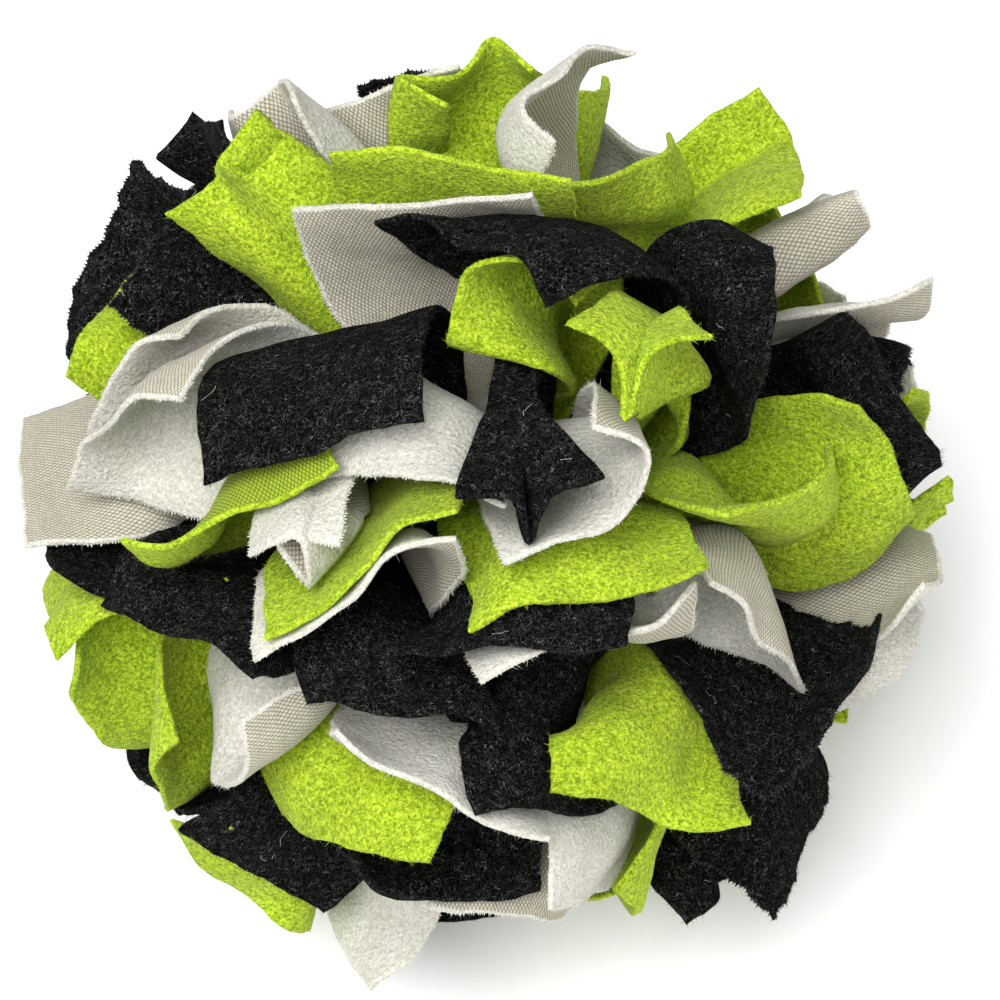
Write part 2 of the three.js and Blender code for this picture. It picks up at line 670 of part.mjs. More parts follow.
function nearestOnEdges(x, p1, q1, p2, q2) {
  const d1x = x[q1] - x[p1]; const d1y = x[q1 + 1] - x[p1 + 1]; const d1z = x[q1 + 2] - x[p1 + 2];
  const d2x = x[q2] - x[p2]; const d2y = x[q2 + 1] - x[p2 + 1]; const d2z = x[q2 + 2] - x[p2 + 2];
  const rx = x[p1] - x[p2]; const ry = x[p1 + 1] - x[p2 + 1]; const rz = x[p1 + 2] - x[p2 + 2];
  const a = d1x * d1x + d1y * d1y + d1z * d1z;
  const e = d2x * d2x + d2y * d2y + d2z * d2z;
  const f = d2x * rx + d2y * ry + d2z * rz;
  const c = d1x * rx + d1y * ry + d1z * rz;
  const b = d1x * d2x + d1y * d2y + d1z * d2z;
  const denominator = a * e - b * b;
  let s = denominator > 1e-9 ? Math.min(1, Math.max(0, (b * f - c * e) / denominator)) : 0.5;
  let t = (b * s + f) / e;
  if (t < 0) {
    t = 0;
    s = Math.min(1, Math.max(0, -c / a));
  } else if (t > 1) {
    t = 1;
    s = Math.min(1, Math.max(0, (b - c) / a));
  }
  weights[0] = 1 - s;
  weights[1] = s;
  weights[2] = 1 - t;
  weights[3] = t;
  const dx = rx + d1x * s - d2x * t;
  const dy = ry + d1y * s - d2y * t;
  const dz = rz + d1z * s - d2z * t;
  return dx * dx + dy * dy + dz * dz;
}

// Rows of one strip this far apart may touch each other like two strips.
const OWN_ROWS_APART = 4;
function farEnough(one, two) {
  const stripOne = Math.floor(one / STRIP_POINTS);
  const stripTwo = Math.floor(two / STRIP_POINTS);
  if (stripOne !== stripTwo) {
    return true;
  }
  const rowOne = Math.floor((one % STRIP_POINTS) / COLUMNS);
  const rowTwo = Math.floor((two % STRIP_POINTS) / COLUMNS);
  return Math.abs(rowOne - rowTwo) > OWN_ROWS_APART;
}

// Everything closer than the search distance, and how far each point may safely move.
function findContacts(x, surface, reach) {
  const { triangles, ownPoints, ownEdges } = surface;
  const count = triangles.length;
  const low = new Float64Array(3 * count);
  const high = new Float64Array(3 * count);
  for (let t = 0; t < count; t += 1) {
    const [a, b, c] = triangles[t];
    for (let k = 0; k < 3; k += 1) {
      low[3 * t + k] = Math.min(x[3 * a + k], x[3 * b + k], x[3 * c + k]);
      high[3 * t + k] = Math.max(x[3 * a + k], x[3 * b + k], x[3 * c + k]);
    }
  }
  const order = Array.from({ length: count }, (_, i) => i)
    .sort((one, two) => low[3 * one] - low[3 * two]);
  const nearest = new Float64Array(x.length / 3).fill(reach);
  const pointPairs = [];
  const edgePairs = [];
  const testPoints = (t, other) => {
    const [a, b, c] = triangles[other];
    for (const p of ownPoints[t]) {
      if (!farEnough(p, a)) {
        continue;
      }
      const distance = Math.sqrt(nearestOnTriangle(x, 3 * p, 3 * a, 3 * b, 3 * c));
      if (distance < reach) {
        pointPairs.push(p, a, b, c);
        nearest[p] = Math.min(nearest[p], distance);
        nearest[a] = Math.min(nearest[a], distance);
        nearest[b] = Math.min(nearest[b], distance);
        nearest[c] = Math.min(nearest[c], distance);
      }
    }
  };
  const testEdges = (t, other) => {
    for (const [p, q] of ownEdges[t]) {
      for (const [r, s] of ownEdges[other]) {
        if (!farEnough(p, r)) {
          continue;
        }
        const distance = Math.sqrt(nearestOnEdges(x, 3 * p, 3 * q, 3 * r, 3 * s));
        if (distance < reach) {
          edgePairs.push(p, q, r, s);
          nearest[p] = Math.min(nearest[p], distance);
          nearest[q] = Math.min(nearest[q], distance);
          nearest[r] = Math.min(nearest[r], distance);
          nearest[s] = Math.min(nearest[s], distance);
        }
      }
    }
  };
  for (let i = 0; i < count; i += 1) {
    const t = order[i];
    const limit = high[3 * t] + reach;
    for (let j = i + 1; j < count && low[3 * order[j]] < limit; j += 1) {
      const o = order[j];
      const apart = low[3 * o + 1] > high[3 * t + 1] + reach
        || low[3 * t + 1] > high[3 * o + 1] + reach
        || low[3 * o + 2] > high[3 * t + 2] + reach
        || low[3 * t + 2] > high[3 * o + 2] + reach;
      if (!apart && farEnough(triangles[t][0], triangles[o][0])) {
        testPoints(t, o);
        testPoints(o, t);
        testEdges(t, o);
      }
    }
  }
  return { nearest, pointPairs, edgePairs };
}

function pushPoints(x, free, pairs) {
  for (let i = 0; i < pairs.length; i += 4) {
    const p = 3 * pairs[i];
    const a = 3 * pairs[i + 1];
    const b = 3 * pairs[i + 2];
    const c = 3 * pairs[i + 3];
    const squared = nearestOnTriangle(x, p, a, b, c);
    if (squared < SHEET_SPACING * SHEET_SPACING && squared > 1e-12) {
      const distance = Math.sqrt(squared);
      const [wa, wb, wc] = weights;
      const total = free[pairs[i]] + wa * wa * free[pairs[i + 1]]
        + wb * wb * free[pairs[i + 2]] + wc * wc * free[pairs[i + 3]];
      if (total > 0) {
        const push = (SHEET_SPACING - distance) / distance / total;
        for (let k = 0; k < 3; k += 1) {
          const gap = x[p + k] - wa * x[a + k] - wb * x[b + k] - wc * x[c + k];
          x[p + k] += push * gap * free[pairs[i]];
          x[a + k] -= push * gap * wa * free[pairs[i + 1]];
          x[b + k] -= push * gap * wb * free[pairs[i + 2]];
          x[c + k] -= push * gap * wc * free[pairs[i + 3]];
        }
      }
    }
  }
}

function pushEdges(x, free, pairs) {
  for (let i = 0; i < pairs.length; i += 4) {
    const p = 3 * pairs[i];
    const q = 3 * pairs[i + 1];
    const r = 3 * pairs[i + 2];
    const s = 3 * pairs[i + 3];
    const squared = nearestOnEdges(x, p, q, r, s);
    if (squared < SHEET_SPACING * SHEET_SPACING && squared > 1e-12) {
      const distance = Math.sqrt(squared);
      const [wp, wq, wr, ws] = weights;
      const total = wp * wp * free[pairs[i]] + wq * wq * free[pairs[i + 1]]
        + wr * wr * free[pairs[i + 2]] + ws * ws * free[pairs[i + 3]];
      if (total > 0) {
        const push = (SHEET_SPACING - distance) / distance / total;
        for (let k = 0; k < 3; k += 1) {
          const gap = wp * x[p + k] + wq * x[q + k] - wr * x[r + k] - ws * x[s + k];
          x[p + k] += push * gap * wp * free[pairs[i]];
          x[q + k] += push * gap * wq * free[pairs[i + 1]];
          x[r + k] -= push * gap * wr * free[pairs[i + 2]];
          x[s + k] -= push * gap * ws * free[pairs[i + 3]];
        }
      }
    }
  }
}

function keepLinks(x, free, links, lengths) {
  for (let i = 0; i < links.length; i += 1) {
    const { from, to, stiffness, pushesOnly } = links[i];
    const a = 3 * from;
    const b = 3 * to;
    const dx = x[b] - x[a];
    const dy = x[b + 1] - x[a + 1];
    const dz = x[b + 2] - x[a + 2];
    const distance = Math.sqrt(dx * dx + dy * dy + dz * dz);
    const total = free[from] + free[to];
    if (total > 0 && distance > 1e-9 && !(pushesOnly && distance > lengths[i])) {
      const pull = stiffness * (distance - lengths[i]) / distance / total;
      x[a] += dx * pull * free[from];
      x[a + 1] += dy * pull * free[from];
      x[a + 2] += dz * pull * free[from];
      x[b] -= dx * pull * free[to];
      x[b + 1] -= dy * pull * free[to];
      x[b + 2] -= dz * pull * free[to];
    }
  }
}

function followWishes(x, list, share, floorShare) {
  for (const { point, to, pull, floor } of list) {
    const at = 3 * point;
    if (floor) {
      x[at + 2] += pull * floorShare * (halfThickness - x[at + 2]);
    } else {
      x[at] += pull * share * (to.x - x[at]);
      x[at + 1] += pull * share * (to.y - x[at + 1]);
      x[at + 2] += pull * share * (to.z - x[at + 2]);
    }
  }
}

function stayAboveFloor(x, floor) {
  for (let i = 2; i < x.length; i += 3) {
    x[i] = Math.max(x[i], floor + halfThickness);
  }
}

function stayWithin(x, start, nearest) {
  for (let point = 0; point < nearest.length; point += 1) {
    const at = 3 * point;
    const dx = x[at] - start[at];
    const dy = x[at + 1] - start[at + 1];
    const dz = x[at + 2] - start[at + 2];
    const moved = Math.sqrt(dx * dx + dy * dy + dz * dz);
    const limit = SAFE_SHARE * nearest[point];
    if (moved > limit) {
      x[at] = start[at] + dx * limit / moved;
      x[at + 1] = start[at + 1] + dy * limit / moved;
      x[at + 2] = start[at + 2] + dz * limit / moved;
    }
  }
}

// Takes back the last moves wherever two sheets came closer than they ever may.
function takeBackMoves(x, start, pointPairs, edgePairs) {
  const tooClose = (points, pairs, i, distanceOf) => {
    const at = [3 * pairs[i], 3 * pairs[i + 1], 3 * pairs[i + 2], 3 * pairs[i + 3]];
    const squared = distanceOf(points, ...at);
    return squared < CLOSEST_SPACING * CLOSEST_SPACING
      && squared < distanceOf(start, ...at) - SMALLEST_GAIN;
  };
  for (let round = 0; round < TAKE_BACK_ROUNDS; round += 1) {
    const back = new Set();
    for (const [pairs, distanceOf] of [[pointPairs, nearestOnTriangle],
      [edgePairs, nearestOnEdges]]) {
      for (let i = 0; i < pairs.length; i += 4) {
        if (tooClose(x, pairs, i, distanceOf)) {
          back.add(pairs[i]).add(pairs[i + 1]).add(pairs[i + 2]).add(pairs[i + 3]);
        }
      }
    }
    if (back.size === 0) {
      return;
    }
    const keep = round < HALVING_ROUNDS ? 0.5 : 0;
    for (const point of back) {
      for (let k = 3 * point; k < 3 * point + 3; k += 1) {
        x[k] = start[k] + keep * (x[k] - start[k]);
      }
    }
  }
}

// Sets the lowest points on the floor and moves the cloth close above it clear of them.
function clearTheFloor(x, surface, free) {
  stayAboveFloor(x, 0);
  const low = free.map((value, point) => (x[3 * point + 2] < CLEARING_HEIGHT ? value : 0));
  for (let round = 0; round < CLEARING_ROUNDS; round += 1) {
    const { nearest, pointPairs, edgePairs } = findContacts(x, surface, SEARCH_DISTANCE);
    const start = x.slice();
    for (let pass = 0; pass < PASSES_PER_STEP; pass += 1) {
      pushPoints(x, low, pointPairs);
      pushEdges(x, low, edgePairs);
      stayAboveFloor(x, 0);
      stayWithin(x, start, nearest);
    }
    takeBackMoves(x, start, pointPairs, edgePairs);
  }
}

// Lets every strip widen from a ribbon, lean to its place and come to rest against the others.
function settle(strips) {
  const x = placeInFan(strips);
  const surface = contactSurface(strips.length);
  const links = clothLinks(strips);
  const list = wishes(strips);
  const free = new Float64Array(x.length / 3).fill(1);
  strips.forEach((strip, index) => {
    for (let row = HALF_ROWS - 1; row <= HALF_ROWS + 1; row += 1) {
      for (let column = 0; column < COLUMNS; column += 1) {
        free[pointIndex(index, row, column)] = 0;
      }
    }
  });
  for (let step = 0; step < SETTLE_STEPS; step += 1) {
    const share = step / SETTLE_STEPS;
    const lengths = linkLengths(links, smooth(share / GROWN_AT_SHARE));
    const floor = FLOOR_START * (1 - smooth(share / FLOOR_UP_AT_SHARE));
    const { nearest, pointPairs, edgePairs } = findContacts(x, surface, SEARCH_DISTANCE);
    const start = x.slice();
    const resting = share >= REST_AT_SHARE;
    for (let pass = 0; pass < PASSES_PER_STEP; pass += 1) {
      followWishes(x, list, resting ? REST_PULL : 1, resting ? 0 : 1);
      keepLinks(x, free, links, lengths);
      pushPoints(x, free, pointPairs);
      pushEdges(x, free, edgePairs);
      stayAboveFloor(x, floor);
      stayWithin(x, start, nearest);
    }
    takeBackMoves(x, start, pointPairs, edgePairs);
  }
  clearTheFloor(x, surface, free);
  const { nearest } = findContacts(x, surface, SEARCH_DISTANCE);
  return { x, nearest };
}

function pointNormals(x, strip) {
  const normals = Array.from({ length: STRIP_POINTS }, () => new THREE.Vector3());
  const corner = (i) => new THREE.Vector3().fromArray(x, 3 * (strip * STRIP_POINTS + i));
  for (const [a, b, c] of grid) {
    const start = corner(a);
    const normal = new THREE.Vector3()
      .crossVectors(corner(b).sub(start), corner(c).sub(start));
    normals[a].add(normal);
    normals[b].add(normal);
    normals[c].add(normal);
  }
  return normals.map((normal) => normal.normalize());
}

// The closed sheet on both sides of a settled strip, thinner only where another piece is close.
function sheetGeometry(x, nearest, strip) {
  const normals = pointNormals(x, strip);
  const upper = [];
  const lower = [];
  for (let i = 0; i < STRIP_POINTS; i += 1) {
    const at = new THREE.Vector3().fromArray(x, 3 * (strip * STRIP_POINTS + i));
    const room = (nearest[strip * STRIP_POINTS + i] - PIECE_GAP) / 2;
    const half = Math.max(THINNEST_HALF, Math.min(halfThickness, room));
    if (at.z < halfThickness + FLAT_FOOT_WITHIN) {
      normals[i].set(0, 0, Math.sign(normals[i].z) || 1);
      at.z = half;
    }
    upper.push(at.clone().addScaledVector(normals[i], half));
    lower.push(at.clone().addScaledVector(normals[i], -half));
    for (const point of [upper[i], lower[i]]) {
      point.z = Math.max(point.z, 0);
    }
  }
  const triangles = [];
  for (const [a, b, c] of grid) {
    triangles.push(a, b, c);
    triangles.push(a + STRIP_POINTS, c + STRIP_POINTS, b + STRIP_POINTS);
  }
  const rim = [];
  for (let column = 0; column < LAST_COLUMN; column += 1) {
    rim.push(column);
  }
  for (let row = 0; row < ROWS - 1; row += 1) {
    rim.push(row * COLUMNS + LAST_COLUMN);
  }
  for (let column = LAST_COLUMN; column > 0; column -= 1) {
    rim.push((ROWS - 1) * COLUMNS + column);
  }
  for (let row = ROWS - 1; row > 0; row -= 1) {
    rim.push(row * COLUMNS);
  }
  rim.forEach((a, i) => {
    const b = rim[(i + 1) % rim.length];
    triangles.push(a, a + STRIP_POINTS, b, b, a + STRIP_POINTS, b + STRIP_POINTS);
  });
  const geometry = new THREE.BufferGeometry();
  geometry.setAttribute('position', new THREE.Float32BufferAttribute(
    [...upper, ...lower].flatMap((point) => point.toArray()), 3));
  geometry.setIndex(triangles);
  geometry.computeVertexNormals();
  return geometry;
}

// Sets the middle of the ball's outline over the origin.
function centreOnOrigin(group) {
  const box = new THREE.Box3().setFromObject(group);
  const middle = box.getCenter(new THREE.Vector3());
  for (const mesh of group.children) {
    mesh.geometry.translate(-middle.x, -middle.y, 0);
  }
}

function clothMaterial(cloth) {
  const { colour, roughness } = CLOTHS[cloth];
  return new THREE.MeshStandardMaterial({ color: colour, roughness, metalness: 0 });
}

const strips = layOutStrips();
const { x: settled, nearest: room } = settle(strips);
const ball = new THREE.Group();
ball.name = 'snuffle_ball';
const used = { black: 0, green: 0, grey: 0 };
strips.forEach((strip, index) => {
  used[strip.cloth] += 1;
  const mesh = new THREE.Mesh(sheetGeometry(settled, room, index), clothMaterial(strip.cloth));
  mesh.name = `strip_${strip.cloth}_${String(used[strip.cloth]).padStart(2, '0')}`;
  ball.add(mesh);
});
centreOnOrigin(ball);

export default ball;
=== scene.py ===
"""Dresses the snuffle ball: every fleece strip as a soft sheet on its own folds, with fuzz."""
import math

import bmesh
import bpy
import numpy as np
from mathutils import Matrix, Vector


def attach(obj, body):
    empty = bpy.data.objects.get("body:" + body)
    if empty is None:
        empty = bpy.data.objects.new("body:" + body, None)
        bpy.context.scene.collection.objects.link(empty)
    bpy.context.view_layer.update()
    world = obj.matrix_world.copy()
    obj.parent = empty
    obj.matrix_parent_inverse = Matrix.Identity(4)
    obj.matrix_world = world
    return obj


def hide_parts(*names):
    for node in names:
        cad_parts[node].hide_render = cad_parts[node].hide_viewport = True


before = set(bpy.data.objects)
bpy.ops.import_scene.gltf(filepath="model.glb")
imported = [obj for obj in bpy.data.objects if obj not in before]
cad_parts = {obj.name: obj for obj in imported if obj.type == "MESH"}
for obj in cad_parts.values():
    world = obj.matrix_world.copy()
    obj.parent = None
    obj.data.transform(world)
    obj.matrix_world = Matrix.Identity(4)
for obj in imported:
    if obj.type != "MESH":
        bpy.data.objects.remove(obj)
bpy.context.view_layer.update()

MM = 0.001
STRIP_WIDTH = 46 * MM

# The grid of points that a solid strip is made on, from tip to tip and from side to side.
GRID_ROWS = 15
GRID_COLUMNS = 5
LAST_ROW = GRID_ROWS - 1
LAST_COLUMN = GRID_COLUMNS - 1
MIDDLE_ROW = LAST_ROW // 2
MIDDLE_COLUMN = LAST_COLUMN // 2
TIP_ROWS = (0, LAST_ROW)
COLUMN_WIDTH = STRIP_WIDTH / LAST_COLUMN
OUTER_ROW_LENGTH = 14 * MM
SAME_POINT = 0.05 * MM

# How finely a strip is drawn: steps per grid row near the waist and further out, per column,
# and the extra lines that round its cut edges, as shares of the rounding.
WAIST_ROWS = 3
WAIST_STEPS = 2
OUTER_STEPS = 7
COLUMN_STEPS = 6
EDGE_ROUNDING = 0.6 * MM
EDGE_LINES = (0.06, 0.3, 1.0)
EDGE_BLUNTNESS = 4.0
# A cut edge is pressed thinner than the rest of the cloth: by what share, and how far in.
EDGE_THINNING = 0.38
THINNING_REACH = 4 * MM
THINNEST_HALF = 0.3 * MM
# The flat cloth's own places are counted in this length for the pattern of the knitted back.
FLAT_UNIT = 10 * MM

# Small folds in the cloth, each in two random directions, and the wobble of a cut or torn edge:
# how deep, and over what length.
RIPPLES = [
    {"depth": 0.42 * MM, "length": 33 * MM}, {"depth": 0.28 * MM, "length": 19 * MM},
    {"depth": 0.16 * MM, "length": 11 * MM}, {"depth": 0.08 * MM, "length": 6 * MM},
]
RIPPLE_WAYS = 2
CUT_WAVES = [
    {"depth": 0.6 * MM, "length": 31 * MM}, {"depth": 0.35 * MM, "length": 12 * MM},
    {"depth": 0.2 * MM, "length": 5 * MM},
]
TORN_WAVES = [
    {"depth": 1.0 * MM, "length": 21 * MM}, {"depth": 0.8 * MM, "length": 7.3 * MM},
    {"depth": 0.6 * MM, "length": 4.2 * MM},
]
# Cloth with at least this half thickness has room for the full ripples.
ROOMY_HALF = 0.8 * MM

# Fuzz: loose fibres on the cut edges and on both faces of a strip, each one thin triangle. The
# two flaps take this share of the strip's length, and the waist between them has no fuzz.
FLAP_SHARE = 0.6
EDGE_FIBRES = 2500
TORN_EDGE_FIBRES = 4200
FACE_FIBRES = 2600
FIBRE_WIDTH = 0.085 * MM
EDGE_FIBRE_LENGTH = {"black": 0.75 * MM, "green": 0.42 * MM, "grey": 0.5 * MM}
FACE_FIBRE_LENGTH = 0.32 * MM
LONGEST_FIBRE = 1.8 * MM
TORN_GROWTH = 1.2
# A fibre's length is this share of the mean one, and on average the other share on top.
SURE_SHARE = 0.35
CHANCE_SHARE = 0.65
# How the fibres of a cut edge stand: how deep their roots lie, what is added to their length for
# it, how far they spread over the edge's thickness, and how they lean out, up and along.
EDGE_ROOT_DEPTH = 0.25 * MM
EDGE_ROOT_LENGTH = 0.2 * MM
EDGE_SPREAD = 0.45 * MM
LEAST_OUTWARD = 0.1
UP_LEAN = 0.5
ALONG_LEAN = 0.7
# The same for the fibres of the faces.
FACE_ROOT_DEPTH = 0.05 * MM
FACE_ROOT_LENGTH = 0.1 * MM
LEAST_UPWARD = 0.25
# A step along an edge that is more than this many times the usual one crosses the waist.
WAIST_GAP = 4

# Teeth along the cut edges: the cut loops of the knit, and in layers the crumbs of a torn edge.
# A tooth's half width and its shake along the edge are shares of the spacing.
LOOP_SPACING = 0.66 * MM
LOOP_HEIGHT = 0.34 * MM
TORN_SPACING = 0.85 * MM
TORN_HEIGHT = 0.55 * MM
TORN_LAYERS = 3
TOOTH_HALF_WIDTH = 0.33
TOOTH_SHAKE = 0.2
TOOTH_SPREAD = 0.35 * MM
TOOTH_FLARE = 1.5
TOOTH_ROOT_DEPTH = 0.2 * MM
TOOTH_LEAST = 0.2 * MM
TOOTH_GROWTH = (0.6, 1.2)

# Lint on the dark strips: thin curled threads, and small lumps of the green cloth. A thread's
# curl and shake are turns in a step, in radians.
LINT_PER_STRIP = 5
LINT_MARGIN = 3
LINT_LIFT = 0.1 * MM
LINT_STEPS = 14
LINT_STEP = 0.42 * MM
LINT_WIDTH = 0.05 * MM
LINT_CURL = 0.16
LINT_SHAKE = 0.35
LINT_RISE = 0.12
CRUMB_FIBRES = 26
CRUMB_SIZE = 0.55 * MM
CRUMB_SPREAD = 0.3
CRUMB_GROWTH = (0.5, 1.2)
CRUMB_FIBRE_WIDENING = 2.5
CRUMB_REACH_IN_SQUARES = 5
CRUMB_PLACES = [
    {"right": 110, "down": 515}, {"right": 53, "down": 578}, {"right": 68, "down": 548},
    {"right": 528, "down": 610}, {"right": 227, "down": 580}, {"right": 232, "down": 822},
]

# The photograph's squares, five to a millimetre, seen along the ball's axis.
SQUARE = 0.2 * MM
CENTRE_RIGHT = 487
CENTRE_DOWN = 510
IMAGE_SIDE = 1000
VIEW_ELEVATION = math.radians(62)
VIEW_DISTANCE = 750 * MM
SENSOR_WIDTH = 36.0
NEAR_IN_SQUARES = 45
UP = np.array([0, math.sin(VIEW_ELEVATION), math.cos(VIEW_ELEVATION)])
TOWARD = np.array([0, -math.cos(VIEW_ELEVATION), math.sin(VIEW_ELEVATION)])

# Tips whose knitted back faces the front, as places in the photograph.
KNIT_PLACES = [
    {"cloth": "grey", "right": 410, "down": 199}, {"cloth": "grey", "right": 387, "down": 95},
    {"cloth": "grey", "right": 267, "down": 110}, {"cloth": "grey", "right": 590, "down": 110},
    {"cloth": "grey", "right": 864, "down": 219}, {"cloth": "grey", "right": 922, "down": 310},
    {"cloth": "grey", "right": 19, "down": 496}, {"cloth": "grey", "right": 907, "down": 652},
    {"cloth": "grey", "right": 935, "down": 540}, {"cloth": "green", "right": 645, "down": 917},
    {"cloth": "green", "right": 230, "down": 510}, {"cloth": "grey", "right": 523, "down": 920},
]
ROWS_OF_A_TIP = 3
# Tips with a torn edge.
TORN_PLACES = [
    {"cloth": "black", "right": 112, "down": 255}, {"cloth": "black", "right": 147, "down": 228},
    {"cloth": "black", "right": 813, "down": 705}, {"cloth": "black", "right": 815, "down": 857},
    {"cloth": "black", "right": 927, "down": 386}, {"cloth": "black", "right": 456, "down": 56},
]

SEED = 20
rng = np.random.default_rng(SEED)


def unit(vectors):
    """The same directions, each of length one."""
    length = np.linalg.norm(vectors, axis=-1, keepdims=True)
    return vectors / np.maximum(length, 1e-9)


def towards_front(way):
    """A normal, or its opposite, so that it points to the front of the ball."""
    return way * (1 if way @ TOWARD > 0 else -1)


# Reading the settled strips

def grid_neighbours(bm):
    """The points one step along or across the cloth from each point, the inner ones, corners.

    Each square of the solid's faces is cut in two by a diagonal, and the diagonals meet at every
    other point. These even points have 8 edges inside a face and 7 on its rim, the others have
    4 and 5. The corners are even too, with 5 edges.
    """
    valence = {v: len(v.link_edges) for v in bm.verts}
    inner = {v for v in bm.verts if valence[v] in (4, 8)}
    corners = {
        v for v in bm.verts
        if valence[v] == 5 and all(valence[e.other_vert(v)] != 7 for e in v.link_edges)
    }
    even = {v for v in bm.verts if valence[v] in (7, 8)} | corners
    near = {v: set() for v in bm.verts}
    for face in bm.faces:
        if not any(v in inner for v in face.verts):
            continue
        for edge in face.edges:
            one, two = edge.verts
            if (one in even) != (two in even):
                near[one].add(two)
                near[two].add(one)
    return near, inner, corners


def walk_rim(start, first, near, inner, corners):
    """The points along a face's rim from one corner to the next."""
    path = [start, first]
    while path[-1] not in corners:
        path.append(next(v for v in near[path[-1]] if v not in inner and v is not path[-2]))
    return path


def one_side(corner, near, inner, corners):
    """The rows of points of the side of the cloth that this corner is on."""
    paths = [walk_rim(corner, v, near, inner, corners) for v in near[corner]]
    across, along = sorted(paths, key=len)
    rows = [across]
    for below in along[1:]:
        row = [below]
        for column in range(1, len(across)):
            shared = near[rows[-1][column]] & near[row[-1]]
            row.append(next(v for v in shared if v is not rows[-1][column - 1]))
        rows.append(row)
    return rows


def read_strip(node):
    """Both sides of a strip's solid as grids of places, row by row."""
    bm = bmesh.new()
    bm.from_mesh(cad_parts[node].data)
    bmesh.ops.remove_doubles(bm, verts=bm.verts, dist=SAME_POINT)
    near, inner, corners = grid_neighbours(bm)
    ordered = sorted(corners, key=lambda v: tuple(v.co))
    first = one_side(ordered[0], near, inner, corners)
    used = {v for row in first for v in row}
    other = one_side(next(v for v in ordered if v not in used), near, inner, corners)
    upper = np.array([[v.co for v in row] for row in first])
    lower = np.array([[v.co for v in row] for row in other])
    bm.free()
    turns = [lower[::down, ::over] for down in (1, -1) for over in (1, -1)]
    lower = min(turns, key=lambda grid: np.linalg.norm(grid - upper, axis=2).sum())
    return upper, lower


# Smooth cloth through the grid

def spline_shares(t):
    """The shares of four neighbouring points in a smooth curve, between the second and third."""
    return [
        0.5 * (-t + 2 * t ** 2 - t ** 3), 0.5 * (2 - 5 * t ** 2 + 3 * t ** 3),
        0.5 * (t + 4 * t ** 2 - 3 * t ** 3), 0.5 * (-t ** 2 + t ** 3),
    ]


def padded(values):
    """The values with one more before and after them, straight on from the last two."""
    return np.concatenate([2 * values[:1] - values[1:2], values, 2 * values[-1:] - values[-2:-1]])


def sample(grid, rows, columns):
    """Values of a smooth surface through the grid, at arrays of row and column fractions."""
    around = np.swapaxes(padded(np.swapaxes(padded(grid), 0, 1)), 0, 1)
    row = np.clip(np.floor(rows).astype(int), 0, LAST_ROW - 1)
    column = np.clip(np.floor(columns).astype(int), 0, LAST_COLUMN - 1)
    row_shares = spline_shares(rows - row)
    column_shares = spline_shares(columns - column)
    total = 0
    for i, row_share in enumerate(row_shares):
        for j, column_share in enumerate(column_shares):
            share = row_share * column_share
            share = share.reshape(share.shape + (1,) * (grid.ndim - 2))
            total = total + share * around[row + i, column + j]
    return total


def drawn_lines(steps, step_length):
    """Fractions of the grid's rows or columns, with extra lines close to both ends."""
    inner = [np.linspace(i, i + 1, n, endpoint=False) for i, n in enumerate(steps)]
    near_edge = np.array(EDGE_LINES) * EDGE_ROUNDING / step_length
    everything = np.concatenate(inner + [[len(steps)], near_edge, len(steps) - near_edge])
    return np.unique(everything.round(6))


ROW_STEPS = [WAIST_STEPS if abs(row + 0.5 - MIDDLE_ROW) < WAIST_ROWS else OUTER_STEPS
             for row in range(LAST_ROW)]
ROWS_AT = drawn_lines(ROW_STEPS, OUTER_ROW_LENGTH)
COLUMNS_AT = drawn_lines([COLUMN_STEPS] * LAST_COLUMN, COLUMN_WIDTH)


def rows_beyond(reach):
    """The numbers of the drawn rows that lie further than some grid rows from the middle."""
    return np.nonzero(np.abs(ROWS_AT - MIDDLE_ROW) > reach)[0]


def wander(along, table):
    """How far a wandering edge lies inside its straight line."""
    total = np.zeros_like(along)
    for wave in table:
        phase = rng.uniform(0, 2 * math.pi)
        total += wave["depth"] * (1 + np.sin(2 * math.pi * along / wave["length"] + phase)) / 2
    return total


def ripple(across, along):
    """Small folds: how far the cloth lies above or below its smooth surface."""
    total = np.zeros_like(across)
    for wave in RIPPLES:
        for _ in range(RIPPLE_WAYS):
            turn, phase = rng.uniform(0, 2 * math.pi, 2)
            way = across * math.cos(turn) + along * math.sin(turn)
            fold = np.sin(2 * math.pi * way / wave["length"] + phase)
            total += wave["depth"] * fold / RIPPLE_WAYS
    return total


def edge_distance(rows, columns):
    """How far places in the grid are from the nearest cut edge."""
    return np.minimum(np.minimum(columns, LAST_COLUMN - columns) * COLUMN_WIDTH,
                      np.minimum(rows, LAST_ROW - rows) * OUTER_ROW_LENGTH)


def photo_place(points, centre):
    """Where a point or many points show in the photograph's squares."""
    away = points - centre
    grow = VIEW_DISTANCE / (VIEW_DISTANCE - away @ TOWARD) / SQUARE
    return CENTRE_RIGHT + away[..., 0] * grow, CENTRE_DOWN - (away @ UP) * grow


def is_listed(places, cloth, point, centre):
    """Whether a point shows near one of the listed places for its cloth."""
    right, down = photo_place(point, centre)
    return any(
        place["cloth"] == cloth
        and math.hypot(place["right"] - right, place["down"] - down) < NEAR_IN_SQUARES
        for place in places
    )


